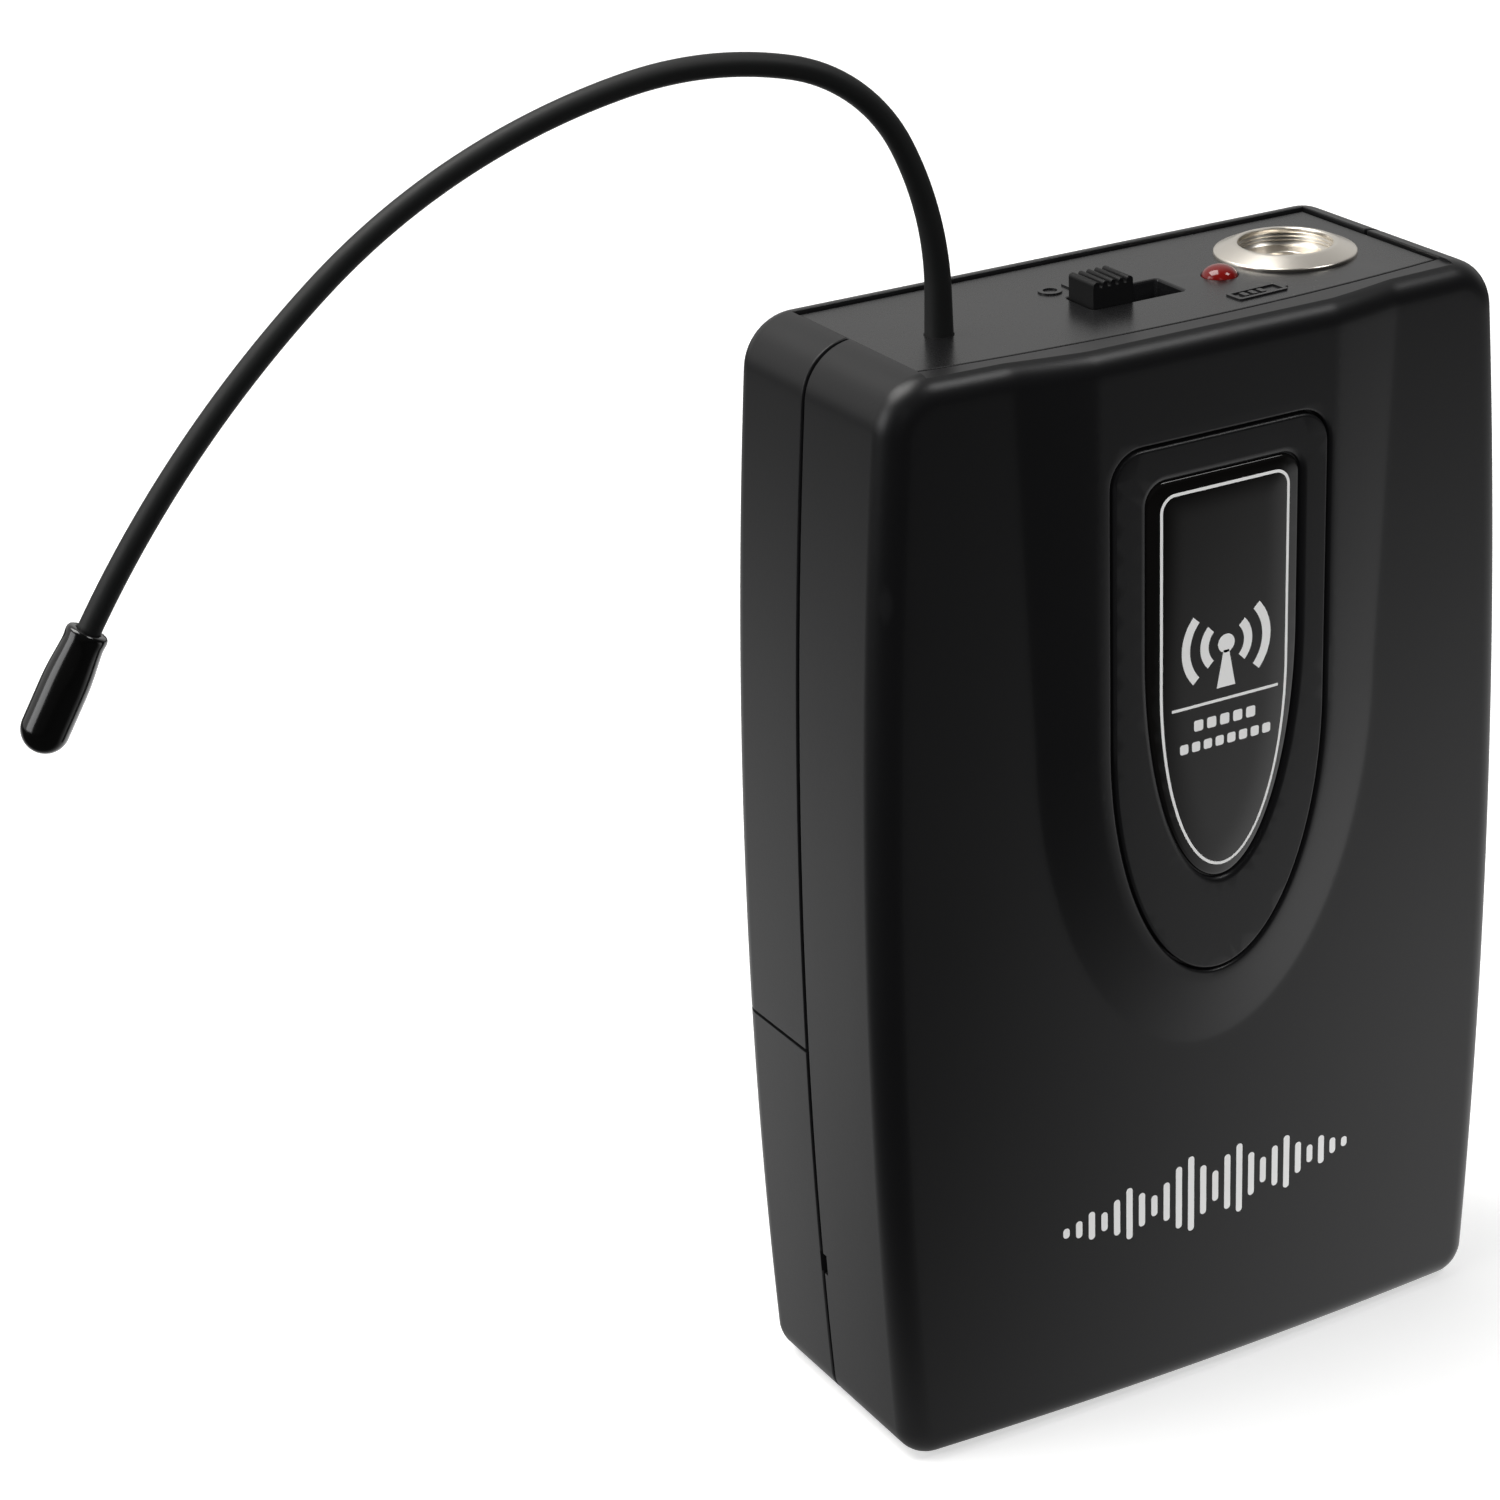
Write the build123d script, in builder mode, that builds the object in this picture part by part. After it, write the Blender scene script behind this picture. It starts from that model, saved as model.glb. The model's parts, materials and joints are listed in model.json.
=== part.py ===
from build123d import *
import os
from math import cos, radians, sin

# Belt-worn radio microphone transmitter: a two-shell case with a battery door, a control
# plate on top, circuit boards, two AA cells, a bent aerial and a belt clip.
# Millimetres. +X right (seen from the front), +Y towards the belt clip, +Z up.
# Origin: middle of the bottom face, on the plane where the two shells part.

os.makedirs("parts", exist_ok=True)

# ---------------------------------------------------------------- shared dimensions
CASE_H = 100.3
HALF_BOTTOM = 31.0      # barrel-shaped sides: half width at the bottom ...
HALF_BELLY = 32.75      # ... at the belly ...
HALF_TOP = 30.4         # ... and at the top
BELLY_Z = 45.4
TOP_R, BOTTOM_R = 4.8, 3.2   # corner radii in the front view
WALL = 1.6
EDGE_R = 2.4            # rounding of front and rear edges
GAP = 0.1
PANEL_Y = -15.3         # raised panel around the badge
REAR_Y = 11.7
DOOR_Z = 36.3           # battery door seam
HOOK_X = 15.0           # door hooks, either side of the middle

BADGE_SEAT_Y, LABEL_SEAT_Y = -14.0, -14.8

JACK_X, JACK_Y = JACK = (17.2, -0.6)    # microphone socket axis
LED_X, LED_Y = LED = (8.8, -2.7)
AERIAL_X, AERIAL_Y = AERIAL = (-19.27, -2.7)   # where the aerial leaves the case
PLATE_Z, PLATE_TOP = 97.0, 100.0
PLATE_HALF = 26.2
NECK_R = 5.55           # clearance around the microphone socket

BOARD_FRONT, BOARD_REAR = -9.4, -7.8
CELL_Y = 1.95
CELL_Z = (10.95, 25.85)
TRIM_Z = sum(CELL_Z) / 2     # gain trimmer, midway between the cells
SCREW_SEAT_Y = 3.0      # where the case screws' heads rest

COS45 = cos(radians(45))


def at_y(y):
    """Sketch plane across the case: sketch (x, y) is (X, Z); extrudes towards the front."""
    return Plane.XZ.offset(-y)


def at_z(z):
    """Level sketch plane: sketch (x, y) is (X, Y); extrudes upwards."""
    return Plane.XY.offset(z)


def mirrored(x, *seconds):
    """Points at -x and +x, for each second coordinate."""
    return [(side * x, second) for side in (-1, 1) for second in seconds]


def cross(length, width):
    """Cross recess, drawn in the current sketch."""
    Rectangle(length, width)
    Rectangle(width, length)


def save(builder, label):
    builder.part.label = label
    export_step(builder.part, "parts/" + label + ".step")


BOSSES = mirrored(26.6, 41.0, 88.0)      # case screws (X, Z)
POST_X, POST_Z = 20.0, (8.0, 78.0)
POSTS = mirrored(POST_X, *POST_Z)        # board screws (X, Z)
CLIP_POSTS = mirrored(4.5, 84.5)         # belt clip screws (X, Z)

# ---------------------------------------------------------------- shared outlines
with BuildSketch() as case_profile:
    with BuildLine():
        Line((-HALF_BOTTOM, 0), (HALF_BOTTOM, 0))
        ThreePointArc((HALF_BOTTOM, 0), (HALF_BELLY, BELLY_Z), (HALF_TOP, CASE_H))
        Line((HALF_TOP, CASE_H), (-HALF_TOP, CASE_H))
        ThreePointArc((-HALF_TOP, CASE_H), (-HALF_BELLY, BELLY_Z), (-HALF_BOTTOM, 0))
    make_face()
    fillet(case_profile.vertices().group_by(Axis.Y)[-1], TOP_R)
    fillet(case_profile.vertices().group_by(Axis.Y)[0], BOTTOM_R)
case_outline = case_profile.sketch_local

with BuildSketch() as cavity_profile:
    add(case_outline)
    offset(amount=-WALL, mode=Mode.REPLACE)
cavity_outline = cavity_profile.sketch_local


def shield(half, top, side_z, tip, corner, middle, gap=0.0):
    """Shield shape: straight top and sides, half-ellipse from side_z down to the tip."""
    left, right = middle - half + gap, middle + half - gap
    with BuildSketch() as outline:
        with BuildLine():
            Polyline((left, side_z), (left, top - gap), (right, top - gap), (right, side_z))
            EllipticalCenterArc(
                (middle, side_z), half - gap, side_z - tip - gap, 180, arc_size=180
            )
        make_face()
        fillet(outline.vertices().group_by(Axis.Y)[-1], corner - gap)
    return outline.sketch_local


def plate_shape(half, rear, side_front, middle_front):
    """Control plate shape seen from above: three straight sides and a bowed front."""
    with BuildSketch() as outline:
        with BuildLine():
            Line((-half, rear), (half, rear))
            Line((half, rear), (half, side_front))
            ThreePointArc((half, side_front), (0, middle_front), (-half, side_front))
            Line((-half, side_front), (-half, rear))
        make_face()
    return outline.sketch_local


# half width, top, start of the ellipse, tip, top corner radius, centre line
BADGE = (11.0, 91.2, 65.0, 41.7, 3.0, 0.25)
LABEL = (7.8, 87.9, 72.5, 50.5, 1.9, 0.55)
badge_seat, badge_outline = shield(*BADGE), shield(*BADGE, gap=0.15)
label_seat, label_outline = shield(*LABEL), shield(*LABEL, gap=0.1)

plate_outline = plate_shape(PLATE_HALF, 9.0, -10.2, -11.95)
plate_opening = plate_shape(PLATE_HALF + GAP, 9.1, -10.3, -12.1)
OPENING_Z = CASE_H - 3.4     # start of the cut through the shells' top wall

# ---------------------------------------------------------------- front shell
DOME_HALF, DOME_SIDE_Y, DOME_Y = 34.0, -13.0, -14.2
CAVITY_FRONT = 11.7      # depth of the hollow
BOSS_R, BOSS_L = 2.4, 11.8
POST_R, POST_L = 2.2, 2.5
BOSS_PILOT_R, POST_PILOT_R = 1.25, 0.95

# right half of the raised panel, (X, Z) from the top edge to the centre line
PANEL_TOP = 103.0        # drawn past the case and trimmed later
CREASE = [
    (19.2, PANEL_TOP), (18.4, 85.0), (17.7, 71.0), (16.3, 53.6),
    (13.7, 44.0), (8.6, 35.6), (0.0, 31.8),
]
PLATEAU = [
    (12.2, PANEL_TOP), (12.1, 85.0), (12.0, 73.0), (11.2, 57.0),
    (9.9, 51.5), (5.6, 43.6), (0.0, 40.7),
]

with BuildPart() as front_shell:
    with BuildSketch(Plane.XZ):
        add(case_outline)
    extrude(amount=20)
    # gently domed front face
    with BuildSketch(at_z(-5)):
        with BuildLine():
            ThreePointArc((-DOME_HALF, DOME_SIDE_Y), (0, DOME_Y), (DOME_HALF, DOME_SIDE_Y))
            Line((DOME_HALF, DOME_SIDE_Y), (DOME_HALF, 2))
            Line((DOME_HALF, 2), (-DOME_HALF, 2))
            Line((-DOME_HALF, 2), (-DOME_HALF, DOME_SIDE_Y))
        make_face()
    extrude(amount=120, mode=Mode.INTERSECT)
    fillet(front_shell.faces().sort_by(Axis.Y)[0].edges(), EDGE_R)
    # raised panel: slopes up from a U-shaped crease to a flat field
    for y, points, slant in ((-13.7, CREASE, 0.04), (PANEL_Y, PLATEAU, 0.01)):
        with BuildSketch(at_y(y)):
            with BuildLine():
                Line((-points[0][0], PANEL_TOP), points[0])
                Spline(*points, tangents=[(-slant, -1), (-1, 0)])
                Spline(*[(-x, z) for x, z in reversed(points)], tangents=[(-1, 0), (-slant, 1)])
            make_face()
    loft(ruled=True)
    # its top edge is rounded like the rest of the rim
    with BuildSketch(Plane.YZ):
        with BuildLine():
            rim_y, rim_z = PANEL_Y + EDGE_R, CASE_H - EDGE_R
            ThreePointArc(
                (PANEL_Y, rim_z),
                (rim_y - EDGE_R * COS45, rim_z + EDGE_R * COS45),
                (rim_y, CASE_H),
            )
            Polyline(
                (rim_y, CASE_H), (8, CASE_H), (8, CASE_H + 6),
                (PANEL_Y - 4, CASE_H + 6), (PANEL_Y - 4, rim_z), (PANEL_Y, rim_z),
            )
        make_face()
    extrude(amount=25, both=True, mode=Mode.SUBTRACT)
    # hollow
    with BuildSketch(Plane.XZ):
        add(cavity_outline)
    extrude(amount=CAVITY_FRONT, mode=Mode.SUBTRACT)
    with BuildSketch(at_y(BADGE_SEAT_Y)):
        add(badge_seat)
    extrude(amount=3, mode=Mode.SUBTRACT)
    with BuildSketch(at_z(OPENING_Z)):
        add(plate_opening)
    extrude(amount=4, mode=Mode.SUBTRACT)
    # case screw bosses and board posts, then their pilot holes
    with BuildSketch(at_y(-GAP)):
        with Locations(*BOSSES):
            Circle(BOSS_R)
    extrude(amount=BOSS_L)
    with BuildSketch(at_y(BOARD_FRONT)):
        with Locations(*POSTS):
            Circle(POST_R)
    extrude(amount=POST_L)
    with BuildSketch(Plane.XZ):
        with Locations(*BOSSES):
            Circle(BOSS_PILOT_R)
    extrude(amount=9.0, mode=Mode.SUBTRACT)
    with BuildSketch(at_y(BOARD_FRONT)):
        with Locations(*POSTS):
            Circle(POST_PILOT_R)
    extrude(amount=POST_L + 0.1, mode=Mode.SUBTRACT)
    # catch tab at the bottom, reaching into the battery door's notch
    with BuildSketch(Plane.XY):
        with Locations((0, 0.4)):
            Rectangle(12, 5.2)
    extrude(amount=WALL)
save(front_shell, "front_shell")

# ---------------------------------------------------------------- badge
with BuildPart() as badge_insert:
    with BuildSketch(at_y(BADGE_SEAT_Y)):
        add(badge_outline)
    extrude(amount=BADGE_SEAT_Y - PANEL_Y)
    with BuildSketch(at_y(LABEL_SEAT_Y)):
        add(label_seat)
    extrude(amount=1.0, mode=Mode.SUBTRACT)
save(badge_insert, "badge_insert")

with BuildPart() as badge_label:
    with BuildSketch(at_y(LABEL_SEAT_Y)):
        add(label_outline)
    extrude(amount=0.45)
save(badge_label, "badge_label")

# ---------------------------------------------------------------- rear shell
DIVIDER_Z, DIVIDER_T = DOOR_Z + GAP, 1.3
SLEEVE_R, SLEEVE_BORE_R, SLEEVE_HOLE_R = 3.3, 2.5, 1.3
CLIP_POST_Y, CLIP_POST_R, CLIP_POST_L = 5.6, 2.3, 4.8

with BuildPart() as rear_shell:
    with BuildSketch(Plane.XZ):
        add(case_outline)
    extrude(amount=-REAR_Y)
    fillet(rear_shell.faces().sort_by(Axis.Y)[-1].edges(), EDGE_R)
    with BuildSketch(Plane.XZ):
        add(cavity_outline)
    extrude(amount=-(REAR_Y - WALL), mode=Mode.SUBTRACT)
    # everything below the door seam belongs to the door
    with BuildSketch(at_z(-5)):
        Rectangle(80, 60)
    extrude(amount=DIVIDER_Z + 5, mode=Mode.SUBTRACT)
    # wall between the battery bay and the electronics, slotted for the door's hooks
    with BuildSketch(at_z(DIVIDER_Z)):
        with Locations((0, 5.3)):
            Rectangle(62.4, 9.8)
    extrude(amount=DIVIDER_T)
    with BuildSketch(at_z(DIVIDER_Z)):
        with Locations(*mirrored(HOOK_X, 9.5)):
            Rectangle(6.4, 1.3)
    extrude(amount=DIVIDER_T + 0.1, mode=Mode.SUBTRACT)
    with BuildSketch(at_z(OPENING_Z)):
        add(plate_opening)
    extrude(amount=4, mode=Mode.SUBTRACT)
    # case screw sleeves, then the belt clip's two screw posts
    with BuildSketch(Plane.XZ):
        with Locations(*BOSSES):
            Circle(SLEEVE_R)
    extrude(amount=-(REAR_Y - 1.0))
    with BuildSketch(at_y(CLIP_POST_Y)):
        with Locations(*CLIP_POSTS):
            Circle(CLIP_POST_R)
    extrude(amount=-CLIP_POST_L)
    # bores for the screw heads, screw holes and the clip posts' pilot holes
    with BuildSketch(at_y(SCREW_SEAT_Y)):
        with Locations(*BOSSES):
            Circle(SLEEVE_BORE_R)
    extrude(amount=-12, mode=Mode.SUBTRACT)
    with BuildSketch(Plane.XZ):
        with Locations(*BOSSES):
            Circle(SLEEVE_HOLE_R)
    extrude(amount=-4, mode=Mode.SUBTRACT)
    with BuildSketch(at_y(CLIP_POST_Y + 0.8)):
        with Locations(*CLIP_POSTS):
            Circle(1.05)
    extrude(amount=-8, mode=Mode.SUBTRACT)
save(rear_shell, "rear_shell")

# ---------------------------------------------------------------- battery door
HOOK_W = 6.0
HOOK_Z = DOOR_Z - 1.3
# centre Y, thickness, height
HOOK_STEPS = ((9.75, 1.1, 1.2), (9.6, 0.8, 2.3))
GROOVE_Z, GROOVE_PITCH, GROOVE_COUNT, GROOVE_DEPTH = 18.0, 2.6, 5, 0.5

with BuildPart() as battery_door:
    with BuildSketch(at_y(GAP)):
        add(case_outline)
    extrude(amount=-(REAR_Y - GAP))
    fillet(battery_door.faces().sort_by(Axis.Y)[-1].edges(), EDGE_R)
    with BuildSketch(Plane.XZ):
        add(cavity_outline)
    extrude(amount=-(REAR_Y - WALL), mode=Mode.SUBTRACT)
    with BuildSketch(at_z(DOOR_Z - GAP)):
        Rectangle(90, 60)
    extrude(amount=80, mode=Mode.SUBTRACT)
    # notch for the front shell's catch tab
    with BuildSketch(at_z(-1)):
        with Locations((0, 1.6)):
            Rectangle(12.3, 3.1)
    extrude(amount=WALL + 2, mode=Mode.SUBTRACT)
    # two stepped hooks that reach up inside the rear shell
    for y, thickness, height in HOOK_STEPS:
        with BuildSketch(at_z(HOOK_Z)):
            with Locations(*mirrored(HOOK_X, y)):
                Rectangle(HOOK_W, thickness)
        extrude(amount=height)
    # thumb grooves on the outside
    with BuildSketch(at_y(REAR_Y - GROOVE_DEPTH)):
        with Locations(*[(0, GROOVE_Z + GROOVE_PITCH * i) for i in range(GROOVE_COUNT)]):
            SlotOverall(18, 1.3)
    extrude(amount=-2, mode=Mode.SUBTRACT)
save(battery_door, "battery_door")

# ---------------------------------------------------------------- control plate
SWITCH_Y = -2.575        # slide switch centre line

with BuildPart() as control_plate:
    # flange under the shells' top wall
    with BuildSketch(at_z(PLATE_Z)):
        with Locations((0, -0.8)):
            Rectangle(54.2, 21.4)
    extrude(amount=0.9)
    with BuildSketch(at_z(PLATE_Z)):
        add(plate_outline)
    extrude(amount=PLATE_TOP - PLATE_Z)
    # holes for the socket, indicator, aerial and switch knob
    with BuildSketch(at_z(PLATE_Z - 1)):
        for centre, radius in ((JACK, NECK_R), (LED, 1.6), (AERIAL, 1.25)):
            with Locations(centre):
                Circle(radius)
        with Locations((-0.775, SWITCH_Y)):
            Rectangle(9.25, 4.25)
    extrude(amount=6, mode=Mode.SUBTRACT)
save(control_plate, "control_plate")

# ---------------------------------------------------------------- microphone socket
# threaded collar around a flat face with the 3.5 mm plug's hole in it
JACK_AXIS = Axis((JACK_X, JACK_Y, 0), (0, 0, 1))
JACK_XZ = Plane(origin=(JACK_X, JACK_Y, 0), x_dir=(1, 0, 0), z_dir=(0, -1, 0))
BODY_R, BODY_BORE_R, BODY_Z = 5.5, 4.3, 81.0
INSULATOR_Z = 81.2
LUG_R, PIN_R, PIN_Z, PIN_L = 3.1, 0.4, 78.6, 5.6
LUGS = [
    (JACK_X + LUG_R * cos(radians(angle)), JACK_Y + LUG_R * sin(radians(angle)))
    for angle in (90, 210, 330)
]
# (radius, Z) of the collar's section
JACK_SECTION = [
    (4.1, 99.5), (4.1, 101.0), (4.55, 101.0), (6.225, 100.25), (6.225, PLATE_TOP),
    (BODY_R, PLATE_TOP), (BODY_R, BODY_Z), (BODY_BORE_R, BODY_Z), (BODY_BORE_R, 99.5),
    (4.1, 99.5),
]

with BuildPart() as jack_shell:
    with BuildSketch(JACK_XZ):
        with BuildLine():
            Polyline(*JACK_SECTION)
        make_face()
    revolve(axis=JACK_AXIS)
save(jack_shell, "jack_shell")

with BuildPart() as jack_face:
    with BuildSketch(at_z(97.5)):
        with Locations(JACK):
            Circle(BODY_BORE_R)
            Circle(1.85, mode=Mode.SUBTRACT)
    extrude(amount=2.0)
save(jack_face, "jack_face")

with BuildPart() as jack_insulator:
    with BuildSketch(at_z(INSULATOR_Z)):
        with Locations(JACK):
            Circle(BODY_BORE_R - 0.02)
    extrude(amount=16.25)
    with BuildSketch(at_z(INSULATOR_Z + 1.4)):
        with Locations(JACK):
            Circle(1.9)
    extrude(amount=16.0, mode=Mode.SUBTRACT)
    with BuildSketch(at_z(INSULATOR_Z)):
        with Locations(*LUGS):
            Circle(PIN_R)
    extrude(amount=3.0, mode=Mode.SUBTRACT)
save(jack_insulator, "jack_insulator")

with BuildPart() as jack_pins:
    with BuildSketch(at_z(PIN_Z)):
        with Locations(*LUGS):
            Circle(PIN_R)
    extrude(amount=PIN_L)
save(jack_pins, "jack_pins")

with BuildPart() as jack_washer:
    with BuildSketch(at_z(96.6)):
        with Locations(JACK):
            Circle(7.0)
            Circle(5.6, mode=Mode.SUBTRACT)
    extrude(amount=PLATE_Z - 96.6)
save(jack_washer, "jack_washer")

with BuildPart() as jack_nut:
    with BuildSketch(at_z(94.4)):
        with Locations(JACK):
            RegularPolygon(7.4, 6, rotation=30)
            Circle(NECK_R, mode=Mode.SUBTRACT)
    extrude(amount=2.2)
save(jack_nut, "jack_nut")

# ---------------------------------------------------------------- power indicator
LENS_Z, LENS_RIM_R, LENS_RIM_H = 95.6, 1.9, 0.9
LENS_R, LENS_BODY_H = 1.5, 2.9
LENS_BODY_Z = LENS_Z + LENS_RIM_H
LEAD_SIZE = 0.5
LEADS = [(LED_X - 1.27, LED_Y), (LED_X + 1.27, LED_Y)]

with BuildPart() as led_lens:
    with BuildSketch(at_z(LENS_Z)):
        with Locations(LED):
            Circle(LENS_RIM_R)
    extrude(amount=LENS_RIM_H)
    with BuildSketch(at_z(LENS_BODY_Z)):
        with Locations(LED):
            Circle(LENS_R)
    extrude(amount=LENS_BODY_H)
    with Locations((LED_X, LED_Y, LENS_BODY_Z + LENS_BODY_H)):
        Sphere(LENS_R)
save(led_lens, "led_lens")

with BuildPart() as led_leads:
    with BuildSketch(at_z(LENS_Z - 11.0)):
        with Locations(*LEADS):
            Rectangle(LEAD_SIZE, LEAD_SIZE)
    extrude(amount=11.0)
save(led_leads, "led_leads")

# ---------------------------------------------------------------- slide switch
KNOB_LEFT = -5.25        # knob's left flank in the off position
KNOB_L, KNOB_Z, KNOB_H = 4.0, 98.6, 3.6
RIB_PITCH = KNOB_L / 5
SWITCH_TRAVEL = 4.8
KNOB = (KNOB_LEFT + KNOB_L / 2, SWITCH_Y)
SWITCH_X = KNOB[0] + SWITCH_TRAVEL / 2
SWITCH = (SWITCH_X, SWITCH_Y)
SWITCH_L, SWITCH_W, FRAME_WALL = 15.2, 6.0, 0.4
SLIDER_Z, SLIDER_H = 92.05, 4.35
BRIDGE_T = 0.3
BASE_Z, BASE_T = 90.4, 0.9
FRAME_Z, FRAME_H = BASE_Z + BASE_T, 5.6
TERMINAL = (0.8, 0.4)
TERMINALS = [(SWITCH_X + dx, SWITCH_Y + dy) for dx in (-3.6, 0, 3.6) for dy in (-1.6, 1.6)]

with BuildPart() as switch_knob:
    with BuildSketch(at_z(KNOB_Z)):
        with Locations(KNOB):
            Rectangle(KNOB_L, 3.75)
    extrude(amount=KNOB_H)
    fillet(switch_knob.edges().filter_by(Axis.Z), 0.3)
    # grooves leave grip ribs along the top
    with BuildSketch(at_z(101.75)):
        with Locations(*[(KNOB_LEFT + RIB_PITCH * (i + 1), SWITCH_Y) for i in range(4)]):
            Rectangle(0.4, 5)
    extrude(amount=1, mode=Mode.SUBTRACT)
    # stem down to the slider
    with BuildSketch(at_z(SLIDER_Z + SLIDER_H)):
        with Locations(KNOB):
            Rectangle(2.4, 2.6)
    extrude(amount=2.4)
save(switch_knob, "switch_knob")

with BuildPart() as switch_slider:
    with BuildSketch(at_z(SLIDER_Z)):
        with Locations(KNOB):
            Rectangle(4.8, 4.6)
    extrude(amount=SLIDER_H)
    with BuildSketch(at_z(SLIDER_Z)):
        with Locations(KNOB):
            Rectangle(4.0, 0.6)
    extrude(amount=0.8, mode=Mode.SUBTRACT)
save(switch_slider, "switch_slider")

with BuildPart() as switch_bridge:
    with BuildSketch(at_z(SLIDER_Z - BRIDGE_T)):
        with Locations(KNOB):
            Rectangle(4.3, 0.8)
            with Locations((0, 1.2), (0, -1.2)):
                Rectangle(4.3, 0.5)
            Rectangle(0.8, 2.6)
    extrude(amount=BRIDGE_T)
save(switch_bridge, "switch_bridge")

with BuildPart() as switch_frame:
    with BuildSketch(at_z(FRAME_Z)):
        with Locations(SWITCH):
            Rectangle(SWITCH_L, SWITCH_W)
    extrude(amount=FRAME_H)
    with BuildSketch(at_z(FRAME_Z - 0.1)):
        with Locations(SWITCH):
            Rectangle(SWITCH_L - 2 * FRAME_WALL, SWITCH_W - 2 * FRAME_WALL)
    extrude(amount=5.3, mode=Mode.SUBTRACT)
    # window for the knob's stem
    with BuildSketch(at_z(96.0)):
        with Locations(SWITCH):
            Rectangle(8.2, 3.0)
    extrude(amount=2, mode=Mode.SUBTRACT)
save(switch_frame, "switch_frame")

with BuildPart() as switch_base:
    with BuildSketch(at_z(BASE_Z)):
        with Locations(SWITCH):
            Rectangle(SWITCH_L, SWITCH_W)
        with Locations(*TERMINALS):
            Rectangle(*TERMINAL, mode=Mode.SUBTRACT)
    extrude(amount=BASE_T)
save(switch_base, "switch_base")

with BuildPart() as switch_terminals:
    with BuildSketch(at_z(84.8)):
        with Locations(*TERMINALS):
            Rectangle(*TERMINAL)
    extrude(amount=6.9)
save(switch_terminals, "switch_terminals")

# ---------------------------------------------------------------- boards
with BuildPart() as control_board:
    with BuildSketch(at_z(85.4)):
        with Locations((0.4, -1.9)):
            Rectangle(19.6, 11.8)
        with Locations(*TERMINALS):
            Rectangle(*TERMINAL, mode=Mode.SUBTRACT)
        with Locations(*LEADS):
            Rectangle(LEAD_SIZE, LEAD_SIZE, mode=Mode.SUBTRACT)
    extrude(amount=1.2)
save(control_board, "control_board")

with BuildPart() as circuit_board:
    with BuildSketch(at_y(BOARD_REAR)):
        with Locations((0, 48.5)):
            Rectangle(47.2, 91.0)
        with Locations(*POSTS):
            Circle(1.1, mode=Mode.SUBTRACT)
        with Locations((0, TRIM_Z)):
            Circle(0.6, mode=Mode.SUBTRACT)
    extrude(amount=BOARD_REAR - BOARD_FRONT)
save(circuit_board, "circuit_board")

BOARD_HEAD_H = 1.1
with BuildPart() as board_screws:
    with BuildSketch(at_y(BOARD_REAR)):
        with Locations(*POSTS):
            Circle(0.9)
    extrude(amount=3.6)
    with BuildSketch(at_y(BOARD_REAR)):
        with Locations(*POSTS):
            Circle(1.8)
    extrude(amount=-BOARD_HEAD_H)
    with BuildSketch(at_y(BOARD_REAR + BOARD_HEAD_H - 0.5)):
        with Locations(*POSTS):
            cross(2.2, 0.45)
    extrude(amount=-2, mode=Mode.SUBTRACT)
save(board_screws, "board_screws")

# ---------------------------------------------------------------- parts on the circuit board
# All stand on its rear face; places are (X, Z).
CAN_CENTRE = (-5.0, 66.0)
CAN_W, CAN_L, CAN_H, CAN_WALL = 20.0, 18.0, 4.0, 0.3
CHIPS = [(0.5, 50.5), (12.5, 42.5)]
CAPACITORS = [(18.5, 50.5), (18.5, 57.5), (-2.0, 42.0)]
COILS = [(11.0, 62.0), (11.0, 71.0), (-19.5, 42.5)]
RESISTORS = [
    (-20.5, 55.0), (-20.5, 58.5), (-9.5, 42.0), (4.5, 44.0),
    (7.0, 56.3), (20.5, 64.0), (20.5, 68.0), (-20.5, 88.0),
]

with BuildPart() as rf_shield_can:
    with BuildSketch(at_y(BOARD_REAR)):
        with Locations(CAN_CENTRE):
            Rectangle(CAN_W, CAN_L)
    extrude(amount=-CAN_H)
    with BuildSketch(at_y(BOARD_REAR)):
        with Locations(CAN_CENTRE):
            Rectangle(CAN_W - 2 * CAN_WALL, CAN_L - 2 * CAN_WALL)
    extrude(amount=-(CAN_H - CAN_WALL), mode=Mode.SUBTRACT)
save(rf_shield_can, "rf_shield_can")

with BuildPart() as crystal:
    with BuildSketch(at_y(BOARD_REAR)):
        with Locations((-14.5, 50.5)):
            SlotOverall(10.8, 4.6)
    extrude(amount=-3.6)
save(crystal, "crystal")

with BuildPart() as chips:
    with BuildSketch(at_y(BOARD_REAR)):
        with Locations(*CHIPS):
            Rectangle(9.9, 3.9)
    extrude(amount=-1.6)
    # two rows of seven legs
    with BuildSketch(at_y(BOARD_REAR)):
        with Locations(*CHIPS):
            with GridLocations(1.27, 4.9, 7, 2):
                Rectangle(0.42, 1.2)
    extrude(amount=-0.5)
save(chips, "chips")

with BuildPart() as capacitors:
    with BuildSketch(at_y(BOARD_REAR)):
        with Locations(*CAPACITORS):
            Circle(2.5)
    extrude(amount=-6.5)
save(capacitors, "capacitors")

with BuildPart() as coil_cans:
    with BuildSketch(at_y(BOARD_REAR)):
        with Locations(*COILS):
            RectangleRounded(7.0, 7.0, 0.5)
            Circle(1.7, mode=Mode.SUBTRACT)
    extrude(amount=-7.5)
save(coil_cans, "coil_cans")

with BuildPart() as coil_slugs:
    with BuildSketch(at_y(BOARD_REAR + 0.5)):
        with Locations(*COILS):
            Circle(1.65)
    extrude(amount=-6.2)
    with BuildSketch(at_y(BOARD_REAR + 6.0)):
        with Locations(*COILS):
            Rectangle(2.2, 0.5)
    extrude(amount=-2, mode=Mode.SUBTRACT)
save(coil_slugs, "coil_slugs")

with BuildPart() as chip_resistors:
    with BuildSketch(at_y(BOARD_REAR)):
        with Locations(*RESISTORS):
            Rectangle(2.0, 1.25)
    extrude(amount=-0.5)
save(chip_resistors, "chip_resistors")

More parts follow.
